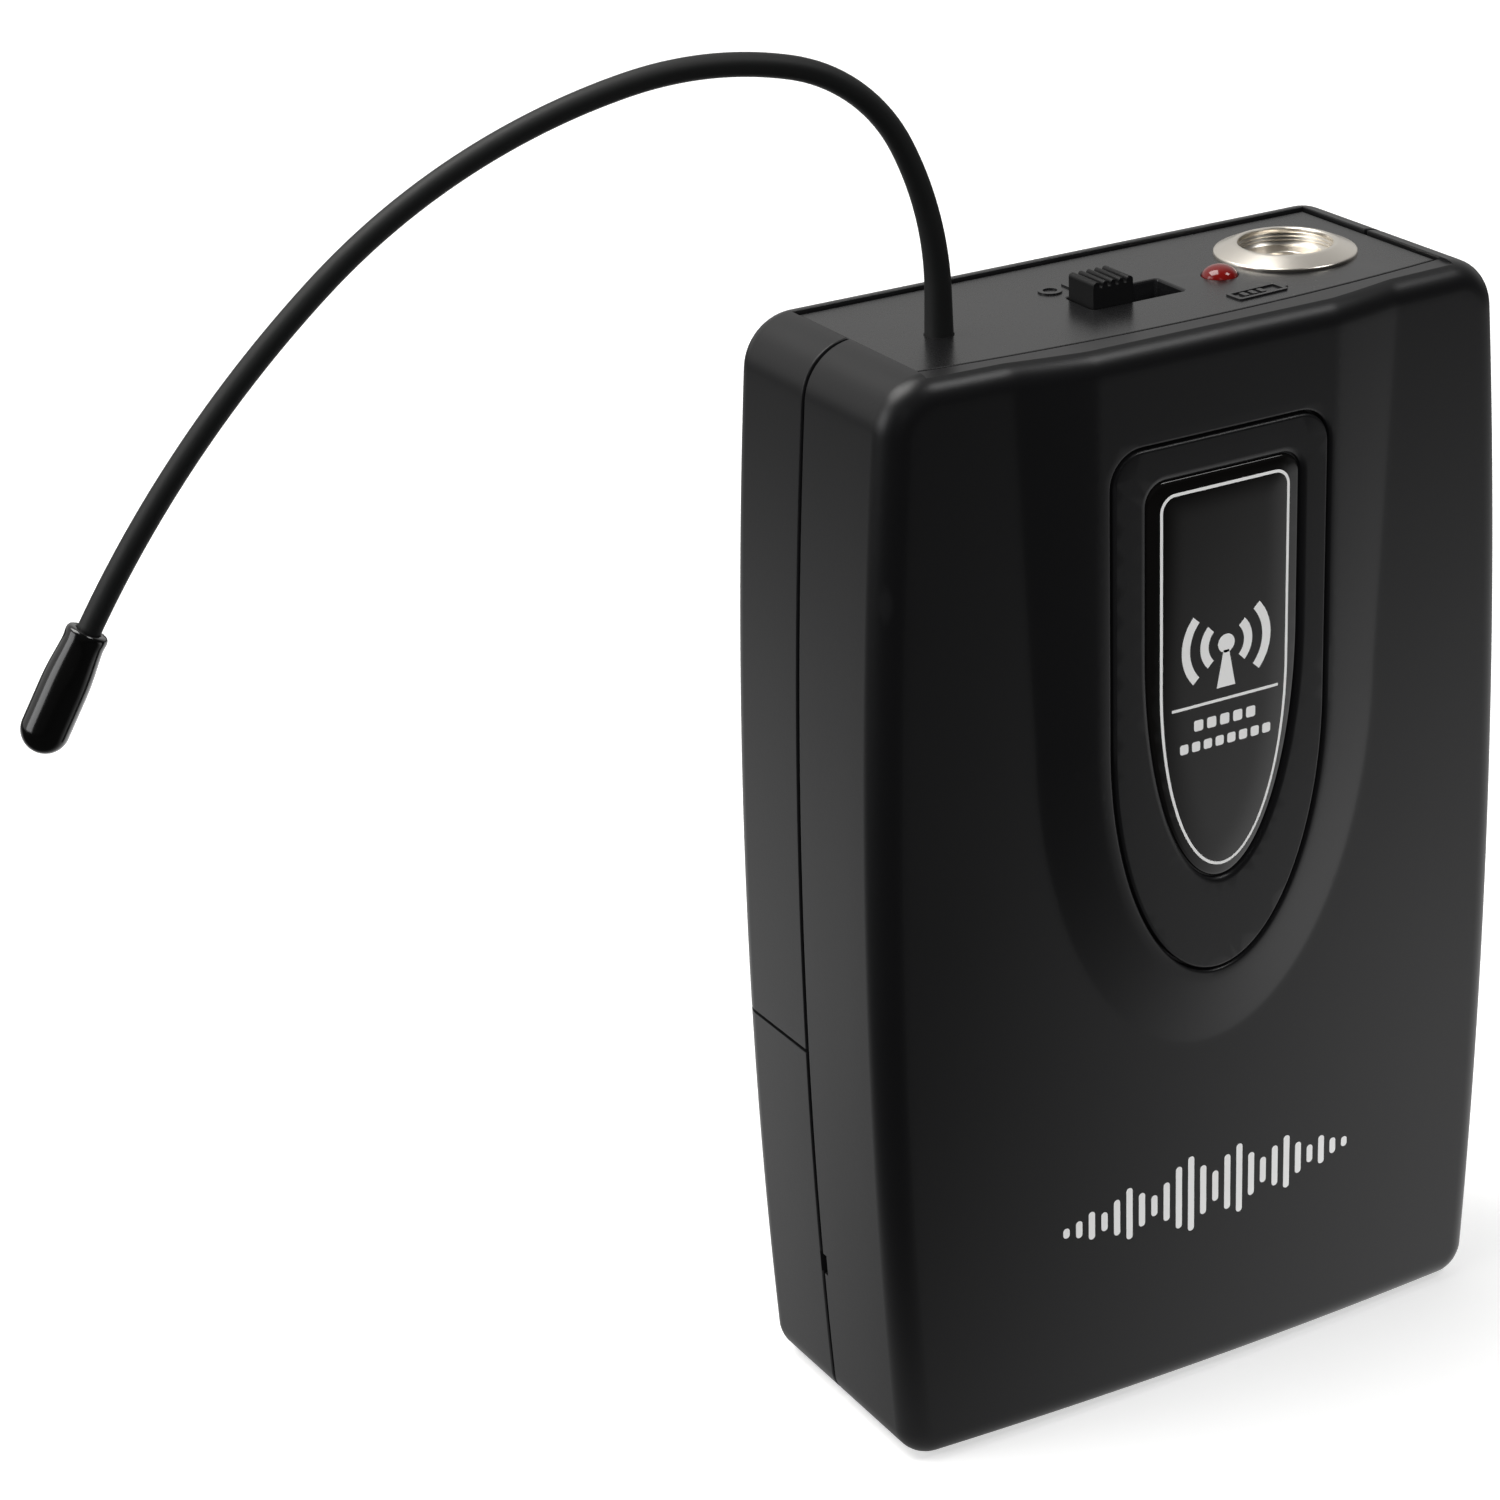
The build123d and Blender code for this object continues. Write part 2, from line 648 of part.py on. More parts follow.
# gain trimmer, reached through the floor of the battery bay
ROTOR_Y = -6.55
with BuildPart() as gain_trimmer:
    with BuildSketch(at_y(BOARD_REAR)):
        with Locations((0, TRIM_Z)):
            Rectangle(4.4, 4.4)
            Circle(0.55, mode=Mode.SUBTRACT)
    extrude(amount=-1.2)
save(gain_trimmer, "gain_trimmer")

with BuildPart() as gain_rotor:
    with BuildSketch(at_y(ROTOR_Y)):
        with Locations((0, TRIM_Z)):
            Circle(1.6)
    extrude(amount=-0.85)
    with BuildSketch(at_y(ROTOR_Y)):
        with Locations((0, TRIM_Z)):
            Circle(0.5)
    extrude(amount=1.0)
    with BuildSketch(at_y(ROTOR_Y + 0.45)):
        with Locations((0, TRIM_Z)):
            cross(2.4, 0.5)
    extrude(amount=-2, mode=Mode.SUBTRACT)
save(gain_rotor, "gain_rotor")

# ---------------------------------------------------------------- battery bay
TRAY_HALF, TRAY_Z0, TRAY_Z1 = 28.6, 2.2, 34.6
TRAY_Y0, TRAY_Y1 = -6.5, 8.8
TRAY_WALL = 1.2
TRAY_L, TRAY_H = 2 * TRAY_HALF, TRAY_Z1 - TRAY_Z0
TRAY_CENTRE = (0, (TRAY_Z0 + TRAY_Z1) / 2)
INNER_HALF = TRAY_HALF - TRAY_WALL       # inside face of the tray's end walls
CELL_R, CELL_L, CELL_START = 7.1, 49.2, -23.3
CELL_END = CELL_START + CELL_L
# number, Z, X direction of the positive end
CELLS = ((1, CELL_Z[0], 1), (2, CELL_Z[1], -1))
CONTACT_T = 0.4
COIL_R, COIL_WIRE_R = 3.2, 0.27

with BuildPart() as battery_tray:
    with BuildSketch(at_y(TRAY_Y0)):
        with Locations(TRAY_CENTRE):
            Rectangle(TRAY_L, TRAY_H)
    extrude(amount=TRAY_Y0 - TRAY_Y1)
    with BuildSketch(at_y(TRAY_Y0 + TRAY_WALL)):
        with Locations(TRAY_CENTRE):
            Rectangle(TRAY_L - 2 * TRAY_WALL, TRAY_H - 2 * TRAY_WALL)
    extrude(amount=-30, mode=Mode.SUBTRACT)
    # low cradle ribs between the cells
    with BuildSketch(at_y(TRAY_Y0 + TRAY_WALL - 0.1)):
        with Locations(*mirrored(15, TRIM_Z)):
            Rectangle(14, 1.6)
    extrude(amount=-1.3)
    # openings over the trimmer and the lower board screws
    with BuildSketch(at_y(TRAY_Y0 - 5)):
        with Locations((0, TRIM_Z)):
            Circle(1.9)
        with Locations(*mirrored(POST_X, POST_Z[0])):
            Circle(2.1)
    extrude(amount=-8, mode=Mode.SUBTRACT)
    # feet on the board
    with BuildSketch(at_y(TRAY_Y0 + 0.1)):
        with Locations(*mirrored(14.0, 6.0, 31.0)):
            Circle(1.3)
    extrude(amount=TRAY_Y0 - BOARD_REAR + 0.1)
    # slots for the contact tabs' legs
    with BuildSketch(at_y(TRAY_Y0 - 1)):
        with Locations(*[(-INNER_HALF + 0.25, z) for z in CELL_Z]):
            Rectangle(0.6, 2.4)
    extrude(amount=-3, mode=Mode.SUBTRACT)
save(battery_tray, "battery_tray")

# two AA cells lying across the case, head to tail
for number, z, direction in CELLS:
    cell_plane = Plane(origin=(0, CELL_Y, z), x_dir=(0, 1, 0), z_dir=(direction, 0, 0))
    with BuildPart() as cell:
        with BuildSketch(cell_plane.offset(CELL_START)):
            Circle(CELL_R)
        extrude(amount=CELL_L)
        with BuildSketch(cell_plane.offset(CELL_END)):
            Circle(2.7)
        extrude(amount=1.1)
        # shallow ring around the positive end
        with BuildSketch(cell_plane.offset(CELL_END - 0.6)):
            Circle(6.2)
            Circle(4.0, mode=Mode.SUBTRACT)
        extrude(amount=2, mode=Mode.SUBTRACT)
    save(cell, "battery_cell_%d" % number)

# plate at the right end, bridging both cells
with BuildPart() as contact_series:
    with BuildSketch(Plane.YZ.offset(INNER_HALF - CONTACT_T)):
        with Locations((CELL_Y, TRIM_Z)):
            Rectangle(9.0, 25.0)
    extrude(amount=CONTACT_T)
save(contact_series, "contact_series")

# one tab per cell at the left end, each with a leg towards the board
with BuildPart() as contact_tabs:
    with BuildSketch(Plane.YZ.offset(-INNER_HALF)):
        with Locations(*[(CELL_Y, z) for z in CELL_Z]):
            Rectangle(9.0, 11.0)
        with Locations(*[(-4.6, z) for z in CELL_Z]):
            Rectangle(5.4, 2.2)
    extrude(amount=CONTACT_T)
save(contact_tabs, "contact_tabs")

# springs at the cells' negative ends
for number, z, direction in CELLS:
    spring_x = -direction * (INNER_HALF - CONTACT_T - 0.33)
    with BuildPart() as spring:
        with BuildLine():
            coil = Helix(pitch=1.02, height=2.95, radius=COIL_R,
                         center=(spring_x, CELL_Y, z), direction=(direction, 0, 0))
        with BuildSketch(Plane(origin=coil @ 0, z_dir=coil % 0)):
            Circle(COIL_WIRE_R)
        sweep(is_frenet=True)
    save(spring, "contact_spring_%d" % number)

# ---------------------------------------------------------------- wires
LEAD_R = 0.45
with BuildPart() as battery_wires:
    with BuildSketch(Plane.YZ.offset(-INNER_HALF + 0.45)):
        with Locations(*[(-7.15, z) for z in CELL_Z]):
            Circle(LEAD_R)
    extrude(amount=6.0)
save(battery_wires, "battery_wires")

# from each socket pin down and forward to the circuit board
with BuildPart() as jack_wires:
    for x, y in LUGS:
        with BuildLine():
            run = Spline((x, y, PIN_Z), (x, BOARD_REAR, 75.0),
                         tangents=[(0, 0, -1), (0, -1, 0)], tangent_scalars=[0.7, 0.7])
        with BuildSketch(Plane(origin=run @ 0, z_dir=run % 0)):
            Circle(LEAD_R)
        sweep(path=run)
save(jack_wires, "jack_wires")

# ---------------------------------------------------------------- aerial
WIRE_R = 0.975
FLEX_Z = 103.5           # where the aerial bends from
LEAN = radians(8.0)      # the aerial's plane leans back by this angle
FERRULE_Z, STUB_Z = 88.0, 90.0
GROMMET_Z = 96.0

with BuildPart() as antenna_grommet:
    with BuildSketch(at_z(GROMMET_Z)):
        with Locations(AERIAL):
            Circle(1.22)
    extrude(amount=PLATE_TOP - GROMMET_Z)
    with BuildSketch(at_z(GROMMET_Z)):
        with Locations(AERIAL):
            Circle(2.6)
    extrude(amount=PLATE_Z - GROMMET_Z)
    with BuildSketch(at_z(GROMMET_Z - 1)):
        with Locations(AERIAL):
            Circle(WIRE_R)
    extrude(amount=6.0, mode=Mode.SUBTRACT)
save(antenna_grommet, "antenna_grommet")

with BuildPart() as antenna_stub:
    with BuildSketch(at_z(STUB_Z)):
        with Locations(AERIAL):
            Circle(WIRE_R)
    extrude(amount=FLEX_Z - 0.4 - STUB_Z)
save(antenna_stub, "antenna_stub")

with BuildPart() as antenna_ferrule:
    with BuildSketch(at_z(FERRULE_Z)):
        with Locations(AERIAL):
            Circle(1.8)
    extrude(amount=GROMMET_Z - FERRULE_Z)
    with BuildSketch(at_z(STUB_Z)):
        with Locations(AERIAL):
            Circle(WIRE_R)
    extrude(amount=8.0, mode=Mode.SUBTRACT)
save(antenna_ferrule, "antenna_ferrule")

with BuildPart() as antenna_lead:
    with BuildLine():
        run = Spline((AERIAL_X, AERIAL_Y, FERRULE_Z), (AERIAL_X, BOARD_REAR, 83.0),
                     tangents=[(0, 0, -1), (0, -1, 0)], tangent_scalars=[0.8, 0.8])
    with BuildSketch(Plane(origin=run @ 0, z_dir=run % 0)):
        Circle(0.5)
    sweep(path=run)
save(antenna_lead, "antenna_lead")

# the whip's plane: local x runs left and slightly back, local y up
WHIP_PLANE = Plane(
    origin=(AERIAL_X, AERIAL_Y, 0),
    x_dir=(-cos(LEAN), sin(LEAN), 0),
    z_dir=(sin(LEAN), cos(LEAN), 0),
)
# the whip's rest shape: tangent arcs (radius, turn in degrees) from straight up
WHIP_ARCS = [
    (28.93, 26.0), (14.22, 49.77), (30.92, 25.57),
    (57.45, 15.65), (55.11, 13.87), (99.58, 19.68),
]


def along(x, z, heading, radius, turn):
    """Point and heading after turning clockwise by turn degrees on an arc."""
    before, after = radians(heading), radians(heading - turn)
    return (
        x + radius * (sin(before) - sin(after)),
        z + radius * (cos(after) - cos(before)),
        heading - turn,
    )


with BuildPart() as antenna_whip:
    with BuildLine(WHIP_PLANE) as whip_line:
        state = (0.0, FLEX_Z, 90.0)
        for radius, turn in WHIP_ARCS:
            middle = along(*state, radius, turn / 2)
            end = along(*state, radius, turn)
            ThreePointArc(state[:2], middle[:2], end[:2])
            state = end
    with BuildSketch(at_z(FLEX_Z)):
        with Locations(AERIAL):
            Circle(WIRE_R)
    sweep(path=whip_line.line)
    # the bending end is tapered, so it can turn above the stub
    chamfer(antenna_whip.faces().filter_by(Plane.XY).edges(), 0.5)
save(antenna_whip, "antenna_whip")

# cap, pushed over the whip's tip
CAP_R, CAP_BORE, CAP_SIDE_L = 1.95, 2.0, 8.6
tip_x, tip_z, tip_heading = state
tip_cos, tip_sin = cos(radians(tip_heading)), sin(radians(tip_heading))
cap_axis = Vector(-tip_cos * cos(LEAN), tip_cos * sin(LEAN), tip_sin)
cap_seat = WHIP_PLANE.from_local_coords(
    Vector(tip_x - CAP_BORE * tip_cos, tip_z - CAP_BORE * tip_sin, 0)
)
cap_plane = Plane(origin=cap_seat, z_dir=cap_axis)

with BuildPart() as antenna_cap:
    with BuildSketch(Plane(origin=cap_seat, x_dir=cap_plane.x_dir, z_dir=cap_plane.y_dir)):
        with BuildLine():
            # half section beside the cap's axis; local -y runs towards the tip
            Polyline((0, 0), (1.55, 0), (1.75, -0.25), (CAP_R, -4.0), (CAP_R, -CAP_SIDE_L))
            ThreePointArc(
                (CAP_R, -CAP_SIDE_L),
                (CAP_R * COS45, -CAP_SIDE_L - CAP_R * COS45),
                (0, -CAP_SIDE_L - CAP_R),
            )
            Line((0, -CAP_SIDE_L - CAP_R), (0, 0))
        make_face()
    revolve(axis=Axis(cap_seat, cap_axis))
    with BuildSketch(cap_plane.offset(-0.5)):
        Circle(WIRE_R + 0.03)
    extrude(amount=CAP_BORE + 0.5, mode=Mode.SUBTRACT)
save(antenna_cap, "antenna_cap")

# ---------------------------------------------------------------- belt clip
CLIP_T, CLIP_W = 0.9, 16.0
BASE_Y = REAR_Y + CLIP_T / 2     # middle of the strip against the rear shell
BEND_R = 3.3
BEND_Y, BEND_Z = BASE_Y + BEND_R, 93.0
BEND_45 = BEND_R * COS45

with BuildPart() as clip_base:
    with BuildSketch(Plane.YZ):
        with BuildLine():
            Line((BASE_Y, 78.5), (BASE_Y, BEND_Z))
            ThreePointArc(
                (BASE_Y, BEND_Z), (BEND_Y - BEND_45, BEND_Z + BEND_45), (BEND_Y, BEND_Z + BEND_R)
            )
        trace(line_width=CLIP_T)
    extrude(amount=CLIP_W / 2, both=True)
    with BuildSketch(at_y(8)):
        with Locations(*CLIP_POSTS):
            Circle(1.15)
    extrude(amount=-6, mode=Mode.SUBTRACT)
save(clip_base, "clip_base")

with BuildPart() as clip_arm:
    with BuildSketch(Plane.YZ):
        with BuildLine():
            arm_start = radians(88.0)
            ThreePointArc(
                (BEND_Y + BEND_R * cos(arm_start), BEND_Z + BEND_R * sin(arm_start)),
                (BEND_Y + BEND_45, BEND_Z + BEND_45),
                (BEND_Y + BEND_R, BEND_Z),
            )
            Line((BEND_Y + BEND_R, BEND_Z), (16.95, 58.0))
            ThreePointArc((16.95, 58.0), (16.8, 54.4), (18.8, 50.2))
        trace(line_width=CLIP_T)
    extrude(amount=CLIP_W / 2, both=True)
    # round the two lower corners only
    with BuildSketch(Plane.XZ):
        with Locations((0, 76)):
            RectangleRounded(CLIP_W, 54, 3.5)
        with Locations((0, 90)):
            Rectangle(CLIP_W, 40)
    extrude(amount=-30, mode=Mode.INTERSECT)
save(clip_arm, "clip_arm")

# ---------------------------------------------------------------- screws
with BuildPart() as clip_screws:
    with BuildSketch(at_y(7.2)):
        with Locations(*CLIP_POSTS):
            Circle(1.0)
    extrude(amount=-6)
    with BuildSketch(at_y(REAR_Y + CLIP_T)):
        with Locations(*CLIP_POSTS):
            Circle(2.0)
    extrude(amount=-1.2)
    fillet(clip_screws.faces().group_by(Axis.Y)[-1].edges(), 0.5)
    with BuildSketch(at_y(REAR_Y + CLIP_T + 0.6)):
        with Locations(*CLIP_POSTS):
            cross(2.4, 0.5)
    extrude(amount=-2, mode=Mode.SUBTRACT)
save(clip_screws, "clip_screws")

with BuildPart() as case_screws:
    with BuildSketch(at_y(-8.5)):
        with Locations(*BOSSES):
            Circle(1.15)
    extrude(amount=-12)
    with BuildSketch(at_y(SCREW_SEAT_Y)):
        with Locations(*BOSSES):
            Circle(2.2)
    extrude(amount=-1.6)
    with BuildSketch(at_y(SCREW_SEAT_Y + 0.9)):
        with Locations(*BOSSES):
            cross(2.6, 0.5)
    extrude(amount=-2, mode=Mode.SUBTRACT)
save(case_screws, "case_screws")
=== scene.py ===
"""Body-worn pack with a slide switch, lamp, socket and whip aerial on top and a belt clip behind.

The case stands upright on z = 0 with its width along x. The front, with the badge, faces -y and
the rear, with the clip, faces +y. The two shells meet at y = 0. The aerial rises at the -x end
of the top and bends over towards -x. Lengths are in millimetres unless a comment says otherwise.
"""
import json
import math
from collections import namedtuple
import bpy
import bmesh
import numpy as np
from mathutils import Matrix, Vector
from mathutils.geometry import delaunay_2d_cdt


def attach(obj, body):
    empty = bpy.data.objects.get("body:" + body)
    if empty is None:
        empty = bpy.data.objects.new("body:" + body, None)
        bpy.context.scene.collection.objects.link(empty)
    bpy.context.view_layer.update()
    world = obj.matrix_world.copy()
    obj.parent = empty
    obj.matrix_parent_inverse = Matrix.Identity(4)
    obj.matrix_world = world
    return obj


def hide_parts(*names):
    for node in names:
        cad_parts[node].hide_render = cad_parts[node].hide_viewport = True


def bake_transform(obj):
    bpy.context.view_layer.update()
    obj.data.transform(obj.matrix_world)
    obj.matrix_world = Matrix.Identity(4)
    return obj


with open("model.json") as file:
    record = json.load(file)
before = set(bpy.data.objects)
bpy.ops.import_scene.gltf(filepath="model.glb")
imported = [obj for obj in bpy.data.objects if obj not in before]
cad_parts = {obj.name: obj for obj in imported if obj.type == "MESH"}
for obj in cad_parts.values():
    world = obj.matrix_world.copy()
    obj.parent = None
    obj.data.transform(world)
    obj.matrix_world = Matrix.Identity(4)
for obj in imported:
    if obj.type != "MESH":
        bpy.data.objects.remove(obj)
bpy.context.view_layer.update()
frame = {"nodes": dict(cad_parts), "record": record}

MM = 0.001                  # metres in a millimetre
FACE_STEP = 0.7   # grid step on the front face and the label
MERGE = 2e-6                # metres
QUARTER = math.pi / 2

# ------------------------------------------------------------ shared sizes
# case outline in the front view: half widths at the bottom, middle and top
HEIGHT = 100.3
HALF_BOTTOM, HALF_MIDDLE, HALF_TOP, MIDDLE_Z = 31.0, 32.75, 30.4, 45.4
CORNER_TOP, CORNER_BOTTOM = 4.8, 3.2
# case depth
REAR_Y = 11.7
REAR_INNER_Y = 10.1
EDGE_RADIUS = 2.4
DOME_Y, DOME_EDGE_Y, DOME_HALF = -14.2, -13.0, 34.0     # front face at x = 0 and at DOME_HALF
WALL = 1.6
# slit and rounded corner along the parting line
SLIT, SLIT_DEPTH, SEAM_RADIUS = 0.19, 0.8, 0.16
# raised panel: parallel above PAD_Z and half an ellipse below it, with a sloping crease around
PAD_Y, PAD_Z = -15.3, 66.0
PAD_HALF, PAD_CREASE, PAD_FLARE = 12.0, 5.4, 0.053      # flare: crease growth per mm of height
PAD_DROP, PAD_CREASE_LOW = 25.1, 6.5
CREASE_TOP = 97.2
DOOR_Z = 36.3               # top of the battery door
PLATE_HALF = 26.2
OPENING_HALF = PLATE_HALF + 0.1
# (x, y) of the features on the top
JACK = (17.2, -0.6)
LED = (8.8, -2.7)
AERIAL = (-19.27, -2.7)
SWITCH_Y = -2.575
# points shared by mating pieces
BOSS_X, BOSS_ZS = 26.6, (41.0, 88.0)
HOOK_X = 15
CLIP_HOLE_X, CLIP_HOLE_Z = 4.5, 84.5
TAB_HALF, TAB_Y = 6, 3
NOTCH_X, NOTCH_Z = (-34, -31.5), (13.8, 15.9)
# badge outlines: straight top and sides, half an ellipse from middle down to tip
Shield = namedtuple("Shield", "half top middle tip corner x")
BADGE = Shield(half=11.0, top=91.2, middle=65.0, tip=41.7, corner=3.0, x=0.25)
LABEL = Shield(half=7.8, top=87.9, middle=72.5, tip=50.5, corner=1.9, x=0.55)
BORDER = Shield(half=6.58, top=86.65, middle=69.5, tip=51.65, corner=1.5, x=0.64)
BADGE_FLOOR_Y = -14.0
SEAT_GAP = 0.06
LABEL_SEAT_DEPTH = 0.5


# ------------------------------------------------------------- plane curves
def circle_through(first, second, third):
    """Centre and radius of the circle through three points."""
    (x1, y1), (x2, y2), (x3, y3) = first, second, third
    square1, square2, square3 = x1 * x1 + y1 * y1, x2 * x2 + y2 * y2, x3 * x3 + y3 * y3
    double = 2 * (x1 * (y2 - y3) + x2 * (y3 - y1) + x3 * (y1 - y2))
    x = (square1 * (y2 - y3) + square2 * (y3 - y1) + square3 * (y1 - y2)) / double
    y = (square1 * (x3 - x2) + square2 * (x1 - x3) + square3 * (x2 - x1)) / double
    return x, y, math.hypot(x1 - x, y1 - y)


def arc(x, y, radius, start, sweep, steps, radius_y=None, last=False):
    """Points along a circle or ellipse about (x, y); the end point only if last is set."""
    radius_y = radius if radius_y is None else radius_y
    angles = [start + sweep * i / steps for i in range(steps + last)]
    return [(x + radius * math.cos(a), y + radius_y * math.sin(a)) for a in angles]


def circle(x, y, radius, steps=48):
    return arc(x, y, radius, 0.0, 2 * math.pi, steps)


def rounded_rect(x, y, width, height, radius, steps=6):
    points = []
    for k, (sx, sy) in enumerate(((1, 1), (-1, 1), (-1, -1), (1, -1))):
        for i in range(steps + 1):
            angle = QUARTER * (k + i / steps)
            points.append((x + sx * (width / 2 - radius) + radius * math.cos(angle),
                           y + sy * (height / 2 - radius) + radius * math.sin(angle)))
    return points


def quarter_round(steps):
    """Pairs (1 - sin, 1 - cos) over a quarter turn."""
    angles = [QUARTER * k / steps for k in range(steps + 1)]
    return [(1 - math.sin(a), 1 - math.cos(a)) for a in angles]


def bowed_loop(half, rear, front, front_middle, steps):
    """Rectangle in the top view whose front side bows out to front_middle."""
    x, y, radius = circle_through((half, front), (0, front_middle), (-half, front))
    start = math.atan2(front - y, half - x)
    end = math.atan2(front - y, -half - x)
    bow = arc(x, y, radius, start, end - start, steps, last=True)[1:]
    return [(-half, rear), (half, rear), (half, front)] + bow


def grow_loop(loop, growth):
    """Moves each side of a loop outwards, or inwards when growth is negative."""
    points = np.array(loop)
    centre = points.mean(0)
    grown = points.copy()
    count = len(points)
    for i in range(count):
        before = points[i] - points[i - 1]
        after = points[(i + 1) % count] - points[i]
        normal0 = np.array([before[1], -before[0]]) / max(np.linalg.norm(before), 1e-9)
        normal1 = np.array([after[1], -after[0]]) / max(np.linalg.norm(after), 1e-9)
        mitre = normal0 + normal1
        mitre = mitre / max(np.dot(mitre, normal1), 0.3)
        if np.dot(mitre, points[i] - centre) < 0:
            mitre = -mitre
        grown[i] = points[i] + mitre * growth
    return grown


def turned(loop, x, y, degrees):
    """Loop turned about (x, y)."""
    cos, sin = math.cos(math.radians(degrees)), math.sin(math.radians(degrees))
    return [(x + (px - x) * cos - (py - y) * sin, y + (px - x) * sin + (py - y) * cos)
            for px, py in loop]


def resample(loop, step):
    """Closed loop with extra points so that no side is longer than step."""
    points = []
    for i in range(len(loop)):
        start, end = np.array(loop[i], float), np.array(loop[(i + 1) % len(loop)], float)
        parts = max(1, int(math.ceil(np.linalg.norm(end - start) / step)))
        points += [tuple(start + (end - start) * j / parts) for j in range(parts)]
    return points


def loop_distance(x, z, loop):
    """Distance of each point from a closed loop."""
    x, z = np.atleast_1d(np.asarray(x, float)), np.atleast_1d(np.asarray(z, float))
    corners = np.asarray(loop, float)
    sides = np.roll(corners, -1, axis=0) - corners
    squares = np.maximum((sides ** 2).sum(1), 1e-12)
    distance = np.zeros(len(x))
    chunk = 3000
    for i in range(0, len(x), chunk):
        dx = x[i:i + chunk, None] - corners[:, 0]
        dz = z[i:i + chunk, None] - corners[:, 1]
        along = np.clip((dx * sides[:, 0] + dz * sides[:, 1]) / squares, 0, 1)
        squared = (dx - along * sides[:, 0]) ** 2 + (dz - along * sides[:, 1]) ** 2
        distance[i:i + chunk] = np.sqrt(squared).min(1)
    return distance


def inside(points, loop, margin=0.0):
    """Points inside a closed loop, and a positive margin away from it.

    A negative margin also takes in the points outside that lie closer than that to the loop.
    """
    points = np.asarray(points, float)
    following = np.roll(loop, -1, axis=0)
    result = np.zeros(len(points), bool)
    chunk = 4000
    for i in range(0, len(points), chunk):
        x, y = points[i:i + chunk, 0:1], points[i:i + chunk, 1:2]
        crosses = (loop[:, 1] > y) != (following[:, 1] > y)
        with np.errstate(divide="ignore", invalid="ignore"):
            crossing = ((following[:, 0] - loop[:, 0]) * (y - loop[:, 1])
                        / (following[:, 1] - loop[:, 1]) + loop[:, 0])
        result[i:i + chunk] = (np.sum(crosses & (x < crossing), axis=1) % 2).astype(bool)
    if margin:
        distance = loop_distance(points[:, 0], points[:, 1], loop)
        result = result & (distance > margin) if margin > 0 else result | (distance < -margin)
    return result


def near_line(points, line, reach):
    """Points closer than reach to any point of a line."""
    line = np.array(line)
    near = np.zeros(len(points), bool)
    chunk = 3000
    for i in range(0, len(points), chunk):
        gaps = points[i:i + chunk, None, :] - line[None, :, :]
        near[i:i + chunk] = (gaps ** 2).sum(2).min(1) < reach ** 2
    return near


# ------------------------------------------------- case outline and surfaces
SIDE_X, SIDE_Z, SIDE_RADIUS = circle_through((HALF_BOTTOM, 0), (HALF_MIDDLE, MIDDLE_Z),
                                             (HALF_TOP, HEIGHT))


def outline(inset=0.0, side_steps=110, corner_steps=14, end_steps=130):
    """Case outline in the front view, as a closed counter-clockwise loop."""
    def corner(radius, z):
        x = SIDE_X + math.sqrt((SIDE_RADIUS - radius) ** 2 - (z - SIDE_Z) ** 2)
        return x, z, max(radius - inset, 1e-4), math.atan2(z - SIDE_Z, x - SIDE_X)
    x_low, z_low, radius_low, angle_low = corner(CORNER_BOTTOM, CORNER_BOTTOM)
    x_top, z_top, radius_top, angle_top = corner(CORNER_TOP, HEIGHT - CORNER_TOP)
    side = SIDE_RADIUS - inset
    sweep = angle_top - angle_low
    loop = [(-x_low + 2 * x_low * i / end_steps, z_low - radius_low) for i in range(end_steps)]
    loop += arc(x_low, z_low, radius_low, -QUARTER, angle_low + QUARTER, corner_steps)
    loop += arc(SIDE_X, SIDE_Z, side, angle_low, sweep, side_steps)
    loop += arc(x_top, z_top, radius_top, angle_top, QUARTER - angle_top, corner_steps)
    loop += [(x_top - 2 * x_top * i / end_steps, z_top + radius_top) for i in range(end_steps)]
    loop += arc(-x_top, z_top, radius_top, QUARTER, QUARTER - angle_top, corner_steps)
    loop += [(-x, z) for x, z in arc(SIDE_X, SIDE_Z, side, angle_top, -sweep, side_steps)]
    loop += arc(-x_low, z_low, radius_low, math.pi - angle_low, QUARTER + angle_low, corner_steps)
    return np.array(loop)


def shield(spec, grow=0.0, steps=90):
    """Badge outline as a closed counter-clockwise loop, with steps along its lower curve."""
    side_steps = max(4, int((spec.top - spec.corner - spec.middle) / 0.8))
    top_steps = max(4, int(2 * (spec.half - spec.corner) / 0.8))
    half, top, corner = spec.half + grow, spec.top + grow, spec.corner + grow
    middle, drop = spec.middle, spec.middle - spec.tip + grow
    x, z = half - corner, top - corner
    points = arc(0.0, middle, half, math.pi, math.pi, steps, radius_y=drop)
    points += [(half, middle + (z - middle) * i / side_steps) for i in range(side_steps)]
    points += arc(x, z, corner, 0.0, QUARTER, 10)
    points += [(x - 2 * x * i / top_steps, top) for i in range(top_steps)]
    points += arc(-x, z, corner, QUARTER, QUARTER, 10)
    points += [(-half, z + (middle - z) * i / side_steps) for i in range(side_steps)]
    return np.array(points) + np.array([spec.x, 0.0])


def dome(x):
    """Front face's y away from the raised panel."""
    sag = DOME_EDGE_Y - DOME_Y
    radius = (DOME_HALF ** 2 + sag ** 2) / (2 * sag)
    return DOME_Y + radius - np.sqrt(radius * radius - np.asarray(x, float) ** 2)


def pad_half(spread, rise):
    """Half width of the panel, from its flat field (spread 0) to its outer edge (spread 1)."""
    return PAD_HALF + spread * (PAD_CREASE + PAD_FLARE * rise)


def pad_drop(spread):
    return PAD_DROP + spread * PAD_CREASE_LOW


